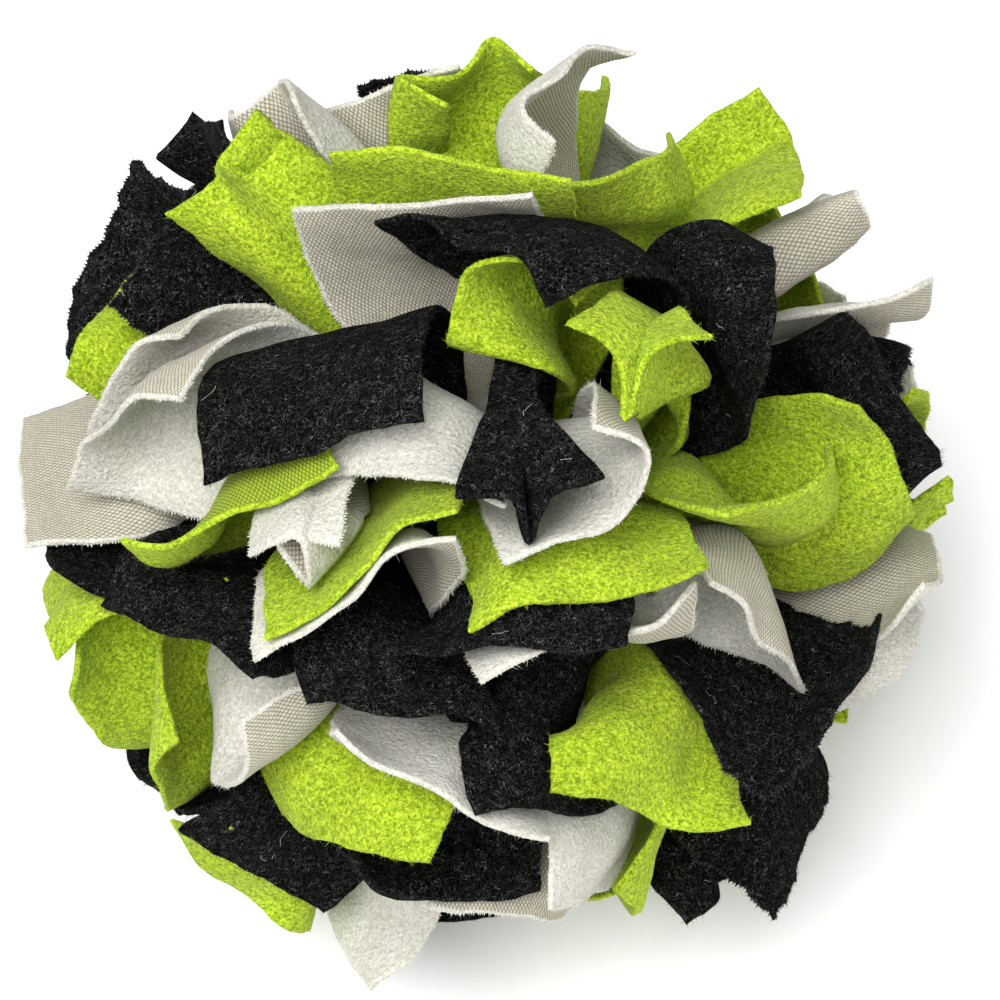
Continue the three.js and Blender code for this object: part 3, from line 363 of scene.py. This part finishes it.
class Strip:
    """One strip: its grid from the solid, then the smooth cloth drawn through it."""

    def __init__(self, node):
        self.node = node
        _, self.cloth, self.number = node.split("_")
        upper, lower = read_strip(node)
        self.grid = (upper + lower) / 2
        self.grid_half = np.linalg.norm(upper - lower, axis=2) / 2
        self.grid_way = unit(upper - lower)
        middle = self.grid[:, MIDDLE_COLUMN]
        steps = np.linalg.norm(np.diff(middle, axis=0), axis=1)
        self.row_places = np.concatenate([[0], np.cumsum(steps)])
        self.length = float(steps.sum())
        self.tips = {row: middle[row] for row in TIP_ROWS}

    def draw(self, centre):
        """Works out the places, normals and half thickness of the drawn cloth."""
        self.torn = {row: is_listed(TORN_PLACES, self.cloth, tip, centre)
                     for row, tip in self.tips.items()}
        rows, columns = np.meshgrid(ROWS_AT, COLUMNS_AT, indexing="ij")
        along = np.interp(rows, np.arange(GRID_ROWS), self.row_places)
        across = (columns / LAST_COLUMN - 0.5) * STRIP_WIDTH
        at_rows, at_columns = self.moved_inwards(rows, columns, along[:, 0], across[0])
        place = sample(self.grid, at_rows, at_columns)
        way = unit(np.cross(np.gradient(place, axis=0), np.gradient(place, axis=1)))
        self.turned = bool(np.sum(way * sample(self.grid_way, at_rows, at_columns)) < 0)
        if self.turned:
            way = -way
        half = np.clip(sample(self.grid_half, at_rows, at_columns), THINNEST_HALF, None)
        room = np.clip((half - THINNEST_HALF) / (ROOMY_HALF - THINNEST_HALF), 0, 1) ** 2
        off_waist = np.clip(np.abs(rows - MIDDLE_ROW) / WAIST_ROWS - 1, 0, 1)
        place = place + way * (ripple(across, along) * room * off_waist)[..., None]
        from_edge = edge_distance(rows, columns)
        pressed = (1 - np.clip(from_edge / THINNING_REACH, 0, 1)) ** 2 * EDGE_THINNING
        nearness = 1 - np.clip(from_edge / EDGE_ROUNDING, 0, 1)
        rounded = (1 - nearness ** EDGE_BLUNTNESS) ** (1 / EDGE_BLUNTNESS)
        self.place, self.way = place, way
        self.half = half * (1 - pressed) * rounded
        self.uv = np.stack([across, along], axis=-1) / FLAT_UNIT

    def moved_inwards(self, rows, columns, along, across):
        """The places in the grid after the cut edges' wandering has moved them inwards."""
        is_torn = self.torn_along(along < self.length / 2)
        sides = [np.where(is_torn, wander(along, TORN_WAVES), wander(along, CUT_WAVES))
                 / COLUMN_WIDTH for _ in range(2)]
        ends = [wander(across, TORN_WAVES if self.torn[row] else CUT_WAVES) / OUTER_ROW_LENGTH
                for row in TIP_ROWS]
        low = np.clip(1 - columns, 0, 1) * sides[0][:, None]
        high = np.clip(columns - LAST_COLUMN + 1, 0, 1) * sides[1][:, None]
        first = np.clip(1 - rows, 0, 1) * ends[0][None, :]
        last = np.clip(rows - LAST_ROW + 1, 0, 1) * ends[1][None, :]
        return rows + first - last, columns + low - high

    def torn_along(self, in_first_half):
        """Whether the edge is torn at places in the first half of the strip or in the other."""
        return np.where(in_first_half, self.torn[0], self.torn[LAST_ROW])

    def front_row(self, centre):
        """The grid row of the tip that lies nearer to the front."""
        return max(self.tips, key=lambda row: (self.tips[row] - centre) @ TOWARD)

    def knit_side(self, centre):
        """1 where the knitted back is on the side that the normals point to, -1 on the other.

        0 where both sides are brushed.
        """
        row = self.front_row(centre)
        near = self.grid_way[:ROWS_OF_A_TIP] if row == 0 else self.grid_way[-ROWS_OF_A_TIP:]
        faces_front = 1 if float(np.sum(near @ TOWARD)) > 0 else -1
        if is_listed(KNIT_PLACES, self.cloth, self.tips[row], centre):
            return faces_front
        return -faces_front if self.cloth == "grey" else 0


# Materials

LOOKS = {
    "black": {
        "deep": (0.0016, 0.0017, 0.0015), "plain": (0.0042, 0.0044, 0.0038),
        "fibre": (0.0095, 0.0098, 0.0088), "strand": (0.225, 0.228, 0.225),
        "loose": (0.04, 0.042, 0.046), "tuft_shade": 0.45, "strand_share": 0.75,
        "back": (0.008, 0.0085, 0.0095), "back_gap": (0.003, 0.0032, 0.0036),
        "roughness": 1.0, "specular": 0.02, "sheen": 0.0, "sheen_tint": (0.8, 0.85, 0.9),
    },
    "green": {
        "deep": (0.20, 0.33, 0.004), "plain": (0.36, 0.51, 0.012),
        "fibre": (0.55, 0.69, 0.055), "strand": (0.66, 0.78, 0.14),
        "loose": (0.46, 0.62, 0.045), "tuft_shade": 0.68, "strand_share": 0.42,
        "back": (0.36, 0.46, 0.035), "back_gap": (0.13, 0.19, 0.01),
        "roughness": 0.95, "specular": 0.15, "sheen": 0.08, "sheen_tint": (0.9, 1.0, 0.5),
    },
    "grey": {
        "deep": (0.505, 0.49, 0.425), "plain": (0.61, 0.595, 0.52),
        "fibre": (0.715, 0.705, 0.64), "strand": (0.82, 0.81, 0.76),
        "loose": (0.70, 0.69, 0.625), "tuft_shade": 0.88, "strand_share": 0.25,
        "back": (0.63, 0.60, 0.50), "back_gap": (0.27, 0.245, 0.175),
        "roughness": 0.95, "specular": 0.15, "sheen": 0.08, "sheen_tint": (1.0, 1.0, 1.0),
    },
}
SHEEN_ROUGHNESS = 0.6
LOOSE_ROUGHNESS = 0.85
LOOSE_SPECULAR = 0.25

# The noises that colour the cloth, by the names of the noise node's inputs. Their scale counts
# lumps in a metre, but that of the wear counts them in the unit of the flat cloth.
NOISES = {
    "fibres": {"Scale": 1800, "Detail": 2.0, "Distortion": 0.8, "Roughness": 0.65},
    "tufts": {"Scale": 900, "Detail": 1.0, "Distortion": 0.6},
    "patches": {"Scale": 60, "Detail": 1.0},
    "curls": {"Scale": 620, "Detail": 1.0, "Distortion": 2.2},
    "clumps": {"Scale": 420, "Detail": 1.0},
    "back_fibres": {"Scale": 1800, "Detail": 1.0, "Distortion": 0.5},
    "wear": {"Scale": 6.0, "Detail": 2.0},
    "loose": {"Scale": 900, "Detail": 2.0},
}
# Where a cloth's own colours lie in a noise, from its low values to its high ones.
FIBRE_STOPS = {"deep": 0.4, "plain": 0.5, "fibre": 0.64}
LOOSE_STOPS = {"plain": 0.35, "loose": 0.65}
BACK_STOPS = {"back_gap": 0.0, "back": 0.32}
# Noises that darken a colour: to the darkest share up to the low value, and not at all from the
# high one on. Each cloth has its own darkest share for the tufts.
SHADES = {
    "tufts": {"low": 0.32, "high": 0.6},
    "patches": {"low": 0.35, "high": 0.62, "darkest": 0.84},
    "clumps": {"low": 0.4, "high": 0.62, "darkest": 0.35},
    "wear": {"low": 0.3, "high": 0.7, "darkest": 0.88},
    "back_fibres": {"low": 0.3, "high": 0.65, "darkest": 0.8},
}
BUMPS = {
    "tufts": {"strength": 0.55, "depth": 0.7 * MM},
    "fibres": {"strength": 0.75, "depth": 0.28 * MM},
    "loops": {"strength": 0.5, "depth": 0.15 * MM},
    "back_fibres": {"strength": 0.35, "depth": 0.15 * MM},
}
# The curled strands are the thin lines where their noise has this value.
STRAND_LINE = 0.5
STRAND_REACH = 0.02
# The loops of the knitted back lie in staggered rows. The pitch is the distance on the slant, in
# the unit of the flat cloth, and the squeeze then draws the rows apart along the strip.
KNIT_SLANT = math.radians(45)
KNIT_PITCH = 0.062
KNIT_SQUEEZE = 0.6
# How far the phase of the wave node goes in a length of one at scale one.
WAVE_RATE = 20


def new_material(name):
    """A material with a plain shader joined to its output."""
    material = bpy.data.materials.new(name)
    material.use_nodes = True
    nodes = material.node_tree.nodes
    nodes.clear()
    shader = nodes.new("ShaderNodeBsdfPrincipled")
    output = nodes.new("ShaderNodeOutputMaterial")
    material.node_tree.links.new(shader.outputs["BSDF"], output.inputs["Surface"])
    return material, shader


def add_node(material, kind, settings=None, **inputs):
    """A node with its settings made, and its inputs set to values or joined to sockets.

    An input is given by its name, or by the letter i and its number.
    """
    node = material.node_tree.nodes.new(kind)
    for name, value in (settings or {}).items():
        setattr(node, name, value)
    for name, value in inputs.items():
        socket = node.inputs[int(name[1:])] if name[1:].isdigit() else node.inputs[name]
        if isinstance(value, bpy.types.NodeSocket):
            material.node_tree.links.new(value, socket)
        else:
            socket.default_value = value
    return node


def noise(material, where, name):
    """One of the listed noises at these places."""
    return add_node(material, "ShaderNodeTexNoise", Vector=where, **NOISES[name]).outputs["Fac"]


def ramp(material, source, stops):
    """Colours that follow a value, with a stop for each place and colour in the list."""
    node = add_node(material, "ShaderNodeValToRGB", Fac=source)
    elements = node.color_ramp.elements
    for element, stop in zip(elements, (stops[0], stops[-1])):
        element.position = stop["at"]
        element.color = (*stop["colour"], 1)
    for stop in stops[1:-1]:
        element = elements.new(stop["at"])
        element.color = (*stop["colour"], 1)
    return node.outputs["Color"]


def look_ramp(material, source, look, stops):
    """A ramp through some of a cloth's own colours."""
    return ramp(material, source, [{"at": at, "colour": look[name]} for name, at in stops.items()])


def join_colours(material, one, two, share, blend="MIX"):
    """Two colours blended, with the given share of the second."""
    node = add_node(material, "ShaderNodeMix", {"data_type": "RGBA", "blend_type": blend},
                    i0=share, i6=one, i7=two)
    return node.outputs[2]


def darkened(material, colour, source, low, high, darkest):
    """A colour made darker where a noise is low."""
    shade = ramp(material, source, [
        {"at": low, "colour": (darkest, darkest, darkest)}, {"at": high, "colour": (1, 1, 1)}])
    return join_colours(material, colour, shade, 1.0, "MULTIPLY")


def add_bump(material, height, strength, depth, under=None):
    """The normal of a rough surface, on top of another normal if there is one."""
    inputs = {"Height": height, "Strength": strength, "Distance": depth}
    if under is not None:
        inputs["Normal"] = under
    return add_node(material, "ShaderNodeBump", None, **inputs).outputs["Normal"]


def set_inputs(node, values):
    """Sets a node's inputs by their names."""
    for name, value in values.items():
        node.inputs[name].default_value = value


def finish_cloth(material, shader, colour, normal, look):
    """Joins colour and normal to the shader and sets how the cloth shines."""
    links = material.node_tree.links
    links.new(colour, shader.inputs["Base Color"])
    links.new(normal, shader.inputs["Normal"])
    set_inputs(shader, {
        "Roughness": look["roughness"], "Specular IOR Level": look["specular"],
        "Sheen Weight": look["sheen"], "Sheen Roughness": SHEEN_ROUGHNESS,
        "Sheen Tint": (*look["sheen_tint"], 1),
    })


def curled_strands(material, where, most):
    """How much of the strands' colour shows: thin curled lines, fainter between the clumps."""
    lines = ramp(material, noise(material, where, "curls"), [
        {"at": STRAND_LINE - STRAND_REACH, "colour": (0, 0, 0)},
        {"at": STRAND_LINE, "colour": (most, most, most)},
        {"at": STRAND_LINE + STRAND_REACH, "colour": (0, 0, 0)}])
    return darkened(material, lines, noise(material, where, "clumps"), **SHADES["clumps"])


def fleece_material(cloth):
    """Brushed fleece: fine fibres over small tufts, with lighter curled strands on top."""
    look = LOOKS[cloth]
    material, shader = new_material(f"fleece_{cloth}")
    where = add_node(material, "ShaderNodeTexCoord").outputs["Object"]
    fibres = noise(material, where, "fibres")
    tufts = noise(material, where, "tufts")
    patches = noise(material, where, "patches")
    colour = look_ramp(material, fibres, look, FIBRE_STOPS)
    strands = curled_strands(material, where, look["strand_share"])
    colour = join_colours(material, colour, (*look["strand"], 1), strands)
    colour = darkened(material, colour, tufts, **SHADES["tufts"], darkest=look["tuft_shade"])
    colour = darkened(material, colour, patches, **SHADES["patches"])
    normal = add_bump(material, tufts, **BUMPS["tufts"])
    normal = add_bump(material, fibres, **BUMPS["fibres"], under=normal)
    finish_cloth(material, shader, colour, normal, look)
    return material


def knit_wave(material, where, direction):
    """Waves across one direction that repeat at the knit's pitch."""
    node = add_node(material, "ShaderNodeTexWave",
                    {"bands_direction": direction, "wave_profile": "SIN"},
                    Vector=where, Scale=2 * math.pi / (WAVE_RATE * KNIT_PITCH), Distortion=0.0)
    return node.outputs["Fac"]


def back_material(cloth):
    """The knitted back: small loops in staggered rows, with fine gaps between them."""
    look = LOOKS[cloth]
    material, shader = new_material(f"back_{cloth}")
    flat = add_node(material, "ShaderNodeTexCoord").outputs["UV"]
    in_space = add_node(material, "ShaderNodeTexCoord").outputs["Object"]
    slanted = add_node(material, "ShaderNodeMapping", None, Vector=flat,
                       Rotation=(0, 0, KNIT_SLANT),
                       Scale=(1, KNIT_SQUEEZE, 1)).outputs["Vector"]
    loops = add_node(material, "ShaderNodeMath", {"operation": "MULTIPLY"},
                     i0=knit_wave(material, slanted, "X"),
                     i1=knit_wave(material, slanted, "Y")).outputs["Value"]
    fibres = noise(material, in_space, "back_fibres")
    colour = look_ramp(material, loops, look, BACK_STOPS)
    colour = darkened(material, colour, noise(material, flat, "wear"), **SHADES["wear"])
    colour = darkened(material, colour, fibres, **SHADES["back_fibres"])
    normal = add_bump(material, loops, **BUMPS["loops"])
    normal = add_bump(material, fibres, **BUMPS["back_fibres"], under=normal)
    finish_cloth(material, shader, colour, normal, look)
    return material


def fibre_material(cloth):
    """Loose fibres, from the cloth's plain colour to a lighter one."""
    look = LOOKS[cloth]
    material, shader = new_material(f"fibre_{cloth}")
    where = add_node(material, "ShaderNodeTexCoord").outputs["Object"]
    colour = look_ramp(material, noise(material, where, "loose"), look, LOOSE_STOPS)
    material.node_tree.links.new(colour, shader.inputs["Base Color"])
    set_inputs(shader, {"Roughness": LOOSE_ROUGHNESS, "Specular IOR Level": LOOSE_SPECULAR})
    return material


MATERIALS = {
    cloth: {"fleece": fleece_material(cloth), "back": back_material(cloth),
            "fibre": fibre_material(cloth)}
    for cloth in LOOKS
}


# Sheets

def face_quads(ids, is_reversed):
    """The corners of a grid's squares, reversed where that makes the squares face outwards."""
    corners = [ids[:-1, :-1], ids[1:, :-1], ids[1:, 1:], ids[:-1, 1:]]
    if is_reversed:
        corners.reverse()
    return np.stack([corner.ravel() for corner in corners], axis=1)


def finish_sheet(mesh, flat_places, knit_side):
    """Gives a sheet its materials, its places on the flat cloth and its smooth look."""
    cut = len(EDGE_LINES)
    shows_back = np.zeros((2, len(ROWS_AT) - 1, len(COLUMNS_AT) - 1), np.int32)
    shows_back[0, cut:-cut, cut:-cut] = 1 if knit_side > 0 else 0
    shows_back[1, cut:-cut, cut:-cut] = 1 if knit_side < 0 else 0
    mesh.polygons.foreach_set("material_index", shows_back.ravel())
    layer = mesh.uv_layers.new(name="flat_cloth")
    loops = np.zeros(len(mesh.loops), np.int32)
    mesh.loops.foreach_get("vertex_index", loops)
    layer.data.foreach_set("uv", flat_places[loops].astype(np.float32).ravel())
    mesh.polygons.foreach_set("use_smooth", np.ones(len(mesh.polygons), bool))
    mesh.update()


def sheet_mesh(strip, knit_side):
    """The closed sheet: both faces meet in one line along the cut edges."""
    rows, columns = strip.half.shape
    upper_ids = np.arange(rows * columns).reshape(rows, columns)
    is_inner = np.zeros((rows, columns), bool)
    is_inner[1:-1, 1:-1] = True
    lower_ids = upper_ids.copy()
    lower_ids[is_inner] = rows * columns + np.arange(is_inner.sum())
    offset = strip.way * strip.half[..., None]
    upper = strip.place + offset
    lower = (strip.place - offset)[is_inner]
    points = np.concatenate([upper.reshape(-1, 3), lower])
    points[:, 2] = np.maximum(points[:, 2], 0)
    quads = np.concatenate([face_quads(upper_ids, strip.turned),
                            face_quads(lower_ids, not strip.turned)])
    mesh = bpy.data.meshes.new(f"cloth_{strip.cloth}_{strip.number}")
    mesh.from_pydata(points.tolist(), [], quads.tolist())
    mesh.materials.append(MATERIALS[strip.cloth]["fleece"])
    mesh.materials.append(MATERIALS[strip.cloth]["back"])
    finish_sheet(mesh, np.concatenate([strip.uv.reshape(-1, 2), strip.uv[is_inner]]), knit_side)
    return mesh


# Fuzz

# The drawn line at either end of the rows or columns, and the one two lines further in.
ENDS_AND_INNER = ((0, 2), (-1, -3))


def fibres_from(base, way, length):
    """Thin triangles that stand on these places and point these ways."""
    side = unit(np.cross(way, rng.normal(size=way.shape))) * FIBRE_WIDTH / 2
    tip = base + way * length[:, None]
    return np.stack([base - side, base + side, tip], axis=1)


def fibre_lengths(count, mean):
    """Random lengths around a mean, a few of them long."""
    lengths = mean * (SURE_SHARE + rng.exponential(CHANCE_SHARE, count))
    return np.clip(lengths, None, LONGEST_FIBRE)


def edge_line(strip, on_edge, further_in):
    """The places along a stretch of cut edge, the ways out of the cloth, and the normals."""
    place = strip.place
    return place[on_edge], place[on_edge] - place[further_in], strip.way[on_edge]


def fibres_along(strip, places, outward, normals, is_torn):
    """Fibres along one line of places, more and longer ones where it is torn."""
    steps = np.linalg.norm(np.diff(places, axis=0), axis=1)
    steps[steps > WAIST_GAP * np.median(steps)] = 0
    per_strip = TORN_EDGE_FIBRES if is_torn.any() else EDGE_FIBRES
    whole_edge = 2 * (strip.length * FLAP_SHARE + STRIP_WIDTH)
    count = int(per_strip * steps.sum() / whole_edge)
    chosen = rng.choice(len(steps), count, p=steps / steps.sum())
    share = rng.random(count)[:, None]
    base = places[chosen] * (1 - share) + places[chosen + 1] * share
    out = unit(outward)[chosen]
    up = normals[chosen]
    run = unit(places[chosen + 1] - places[chosen])
    base = base - out * EDGE_ROOT_DEPTH + up * rng.uniform(-EDGE_SPREAD, EDGE_SPREAD, (count, 1))
    way = unit(out * rng.uniform(LEAST_OUTWARD, 1, (count, 1))
               + up * rng.normal(0, UP_LEAN, (count, 1))
               + run * rng.normal(0, ALONG_LEAN, (count, 1)))
    growth = np.where(is_torn[chosen], TORN_GROWTH, 1.0)
    lengths = fibre_lengths(count, EDGE_FIBRE_LENGTH[strip.cloth]) * growth
    return fibres_from(base, way, lengths + EDGE_ROOT_LENGTH)


def edge_fibres(strip):
    """Fibres along the cut edges of both flaps."""
    rows = rows_beyond(WAIST_ROWS)
    made = []
    for (row, inner), tip in zip(ENDS_AND_INNER, TIP_ROWS):
        is_torn = np.full(len(COLUMNS_AT), strip.torn[tip])
        made.append(fibres_along(strip, *edge_line(strip, row, inner), is_torn))
    for column, inner in ENDS_AND_INNER:
        is_torn = strip.torn_along(rows < len(ROWS_AT) / 2)
        line = edge_line(strip, (rows, column), (rows, inner))
        made.append(fibres_along(strip, *line, is_torn))
    return made


def face_fibres(strip):
    """Short fibres all over the outer part of both faces."""
    row = rng.choice(rows_beyond(WAIST_ROWS + 1)[:-1], FACE_FIBRES)
    column = rng.integers(1, len(COLUMNS_AT) - 2, FACE_FIBRES)
    row_share = rng.random((FACE_FIBRES, 1))
    column_share = rng.random((FACE_FIBRES, 1))
    side = rng.choice([-1.0, 1.0], (FACE_FIBRES, 1))
    faces = []
    for sign in (1, -1):
        face = strip.place + sign * strip.way * strip.half[..., None]
        low = face[row, column] * (1 - column_share) + face[row, column + 1] * column_share
        high = face[row + 1, column] * (1 - column_share) + face[row + 1, column + 1] * column_share
        faces.append(low * (1 - row_share) + high * row_share)
    base = np.where(side > 0, *faces)
    up = strip.way[row, column] * side
    flat = unit(np.cross(up, rng.normal(size=up.shape)))
    way = unit(up * rng.uniform(LEAST_UPWARD, 1, (FACE_FIBRES, 1)) + flat)
    lengths = fibre_lengths(FACE_FIBRES, FACE_FIBRE_LENGTH) + FACE_ROOT_LENGTH
    return fibres_from(base - up * FACE_ROOT_DEPTH, way, lengths)


def values_at(places, run, values):
    """Values along a line, at places counted along it."""
    return np.stack([np.interp(places, run, values[:, k]) for k in range(3)], axis=1)


def teeth_along(places, outward, normals, spacing, most):
    """Small teeth along one line of places, each one triangle."""
    steps = np.linalg.norm(np.diff(places, axis=0), axis=1)
    run = np.concatenate([[0], np.cumsum(steps)])
    at = np.arange(spacing, run[-1] - spacing, spacing)
    at = at + rng.uniform(-TOOTH_SHAKE, TOOTH_SHAKE, len(at)) * spacing
    half = spacing * TOOTH_HALF_WIDTH
    out = unit(values_at(at, run, unit(outward)))
    lift = rng.uniform(-TOOTH_SPREAD, TOOTH_SPREAD, (len(at), 1))
    up = values_at(at, run, normals) * lift
    low = values_at(at - half, run, places) - out * TOOTH_ROOT_DEPTH + up
    high = values_at(at + half, run, places) - out * TOOTH_ROOT_DEPTH + up
    height = TOOTH_LEAST + most * rng.uniform(*TOOTH_GROWTH, (len(at), 1))
    tip = values_at(at, run, places) + out * height + up * TOOTH_FLARE
    return np.stack([low, high, tip], axis=1)


def edge_teeth(strip, spacing, most, torn_only):
    """Small teeth along the cut edges of both flaps, or of the torn ones alone."""
    rows = rows_beyond(WAIST_ROWS)
    halves = (rows[rows < len(ROWS_AT) / 2], rows[rows > len(ROWS_AT) / 2])
    lines = [(tip, edge_line(strip, row, inner))
             for (row, inner), tip in zip(ENDS_AND_INNER, TIP_ROWS)]
    for column, inner in ENDS_AND_INNER:
        for half, tip in zip(halves, TIP_ROWS):
            lines.append((tip, edge_line(strip, (half, column), (half, inner))))
    return [teeth_along(*line, spacing, most) for tip, line in lines
            if strip.torn[tip] or not torn_only]


def lint_thread(strip):
    """One thin curled thread that lies loosely on the face towards the front."""
    row = rng.integers(LINT_MARGIN, len(ROWS_AT) - LINT_MARGIN - 1)
    column = rng.integers(LINT_MARGIN, len(COLUMNS_AT) - LINT_MARGIN - 1)
    up = towards_front(strip.way[row, column])
    along = unit(strip.place[row + 1, column] - strip.place[row, column])
    across = np.cross(up, along)
    turn = rng.uniform(0, 2 * math.pi)
    bend = rng.normal(0, LINT_CURL)
    steps = rng.integers(LINT_STEPS // 2, LINT_STEPS)
    at = strip.place[row, column] + up * (strip.half[row, column] + LINT_LIFT)
    made = []
    for _ in range(steps):
        turn += bend + rng.normal(0, LINT_SHAKE)
        rise = up * rng.normal(0, LINT_RISE)
        way = along * math.cos(turn) + across * math.sin(turn) + rise
        side = unit(np.cross(way, up)) * LINT_WIDTH / 2
        after = at + unit(way) * LINT_STEP
        made.append([at - side, at + side, after + side])
        made.append([at - side, after + side, after - side])
        at = after
    return np.array(made)


def nearest_front(strips, centre, right, down):
    """The strip, place and normal of the cloth that shows at a place in the photograph."""
    found = None
    for strip in strips:
        shown_right, shown_down = photo_place(strip.place, centre)
        from_place = np.hypot(shown_right - right, shown_down - down)
        depth = np.where(from_place < CRUMB_REACH_IN_SQUARES, (strip.place - centre) @ TOWARD, -1)
        spot = np.unravel_index(np.argmax(depth), depth.shape)
        if depth[spot] > 0 and (found is None or depth[spot] > found[0]):
            found = (depth[spot], strip, spot)
    if found is None:
        return None
    _, strip, spot = found
    up = towards_front(strip.way[spot])
    return strip, strip.place[spot] + up * strip.half[spot], up


def crumbs_by_strip(strips, centre):
    """The small green lumps that lie on the dark strips."""
    made = {}
    for spot in CRUMB_PLACES:
        found = nearest_front(strips, centre, spot["right"], spot["down"])
        if found is None or found[0].cloth != "black":
            continue
        strip, place, up = found
        base = place + rng.normal(0, CRUMB_SPREAD, (CRUMB_FIBRES, 3)) * CRUMB_SIZE
        way = unit(rng.normal(size=(CRUMB_FIBRES, 3)) + up)
        length = CRUMB_SIZE * rng.uniform(*CRUMB_GROWTH, CRUMB_FIBRES)
        wide = fibres_from(base, way, length)
        middle = wide.mean(axis=1, keepdims=True)
        wide[:, :2] = middle + (wide[:, :2] - middle) * CRUMB_FIBRE_WIDENING
        made.setdefault(strip.node, []).append(wide)
    return made


def fuzz_mesh(strip, crumbs):
    """All loose fibres, teeth, threads and crumbs of one strip."""
    triangles = [*edge_fibres(strip), face_fibres(strip)]
    if strip.cloth == "grey":
        triangles.extend(edge_teeth(strip, LOOP_SPACING, LOOP_HEIGHT, torn_only=False))
    if any(strip.torn.values()):
        for _ in range(TORN_LAYERS):
            triangles.extend(edge_teeth(strip, TORN_SPACING, TORN_HEIGHT, torn_only=True))
    others = {"grey": [], "green": list(crumbs)}
    if strip.cloth == "black":
        others["grey"].extend(lint_thread(strip) for _ in range(LINT_PER_STRIP))
    mesh = bpy.data.meshes.new(f"fuzz_{strip.cloth}_{strip.number}")
    mesh.materials.append(MATERIALS[strip.cloth]["fibre"])
    slots = [0] * sum(len(group) for group in triangles)
    for cloth, groups in others.items():
        if groups:
            mesh.materials.append(MATERIALS[cloth]["fibre"])
            slots.extend([len(mesh.materials) - 1] * sum(len(group) for group in groups))
            triangles.extend(groups)
    points = np.concatenate(triangles).reshape(-1, 3)
    points[:, 2] = np.maximum(points[:, 2], 0)
    mesh.from_pydata(points.tolist(), [], np.arange(len(points)).reshape(-1, 3).tolist())
    mesh.polygons.foreach_set("material_index", slots)
    return mesh


# The ball

def add_piece(mesh):
    """A mesh as a piece of the ball's one body."""
    piece = bpy.data.objects.new(mesh.name, mesh)
    bpy.context.scene.collection.objects.link(piece)
    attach(piece, "root")
    return piece


strips = [Strip(node) for node in sorted(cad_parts)]
centre = np.mean([strip.grid[MIDDLE_ROW, MIDDLE_COLUMN] for strip in strips], axis=0)
for strip in strips:
    strip.draw(centre)
crumbs = crumbs_by_strip(strips, centre)
for strip in strips:
    cloth = add_piece(sheet_mesh(strip, strip.knit_side(centre)))
    fuzz = add_piece(fuzz_mesh(strip, crumbs.get(strip.node, [])))
    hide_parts(strip.node)


# Floor, light and camera

FLOOR_REACH = 4.0
FLOOR_SHADE = 0.98
FLOOR_ROUGHNESS = 0.9
FLOOR_SPECULAR = 0.1
WORLD_STRENGTH = 0.5
LIGHTS = {
    "key": {"place": (-0.3, -0.3, 1.2), "size": 0.8, "power": 20.5},
    "fill": {"place": (0.8, -0.7, 0.8), "size": 0.9, "power": 5},
}


def add_floor():
    """A white floor that reaches far past the picture."""
    mesh = bpy.data.meshes.new("floor")
    turns = [(-1, -1), (1, -1), (1, 1), (-1, 1)]
    corners = [(x * FLOOR_REACH, y * FLOOR_REACH, 0) for x, y in turns]
    mesh.from_pydata(corners, [], [(0, 1, 2, 3)])
    floor = bpy.data.objects.new("floor", mesh)
    bpy.context.scene.collection.objects.link(floor)
    material, shader = new_material("floor_paper")
    set_inputs(shader, {
        "Base Color": (FLOOR_SHADE, FLOOR_SHADE, FLOOR_SHADE, 1), "Roughness": FLOOR_ROUGHNESS,
        "Specular IOR Level": FLOOR_SPECULAR,
    })
    mesh.materials.append(material)


def aimed(place, target):
    """The turn of a light or camera at one place that looks at another."""
    aim = Vector(target) - Vector(place)
    return aim.to_track_quat("-Z", "Y").to_euler()


def add_world():
    """White light from all around."""
    world = bpy.data.worlds.new("studio")
    world.use_nodes = True
    background = world.node_tree.nodes["Background"]
    set_inputs(background, {"Color": (1, 1, 1, 1), "Strength": WORLD_STRENGTH})
    bpy.context.scene.world = world


def add_area_light(name, target, place, size, power):
    """A square light that shines on the target."""
    light = bpy.data.lights.new(name, "AREA")
    light.size = size
    light.energy = power
    lamp = bpy.data.objects.new(name, light)
    lamp.location = place
    lamp.rotation_euler = aimed(place, target)
    bpy.context.scene.collection.objects.link(lamp)


def add_camera(centre):
    """The photograph's camera, with the ball's axis where the photograph has it."""
    data = bpy.data.cameras.new("view")
    data.sensor_width = SENSOR_WIDTH
    data.lens = SENSOR_WIDTH * VIEW_DISTANCE / (IMAGE_SIDE * SQUARE)
    data.shift_x = 0.5 - CENTRE_RIGHT / IMAGE_SIDE
    data.shift_y = CENTRE_DOWN / IMAGE_SIDE - 0.5
    camera = bpy.data.objects.new("view", data)
    camera.location = Vector(centre + TOWARD * VIEW_DISTANCE)
    camera.rotation_euler = Vector(-TOWARD).to_track_quat("-Z", "Y").to_euler()
    bpy.context.scene.collection.objects.link(camera)
    bpy.context.scene.camera = camera


add_floor()
add_world()
for name, light in LIGHTS.items():
    add_area_light(name, centre, **light)
add_camera(centre)
bpy.context.scene.view_settings.view_transform = "Standard"
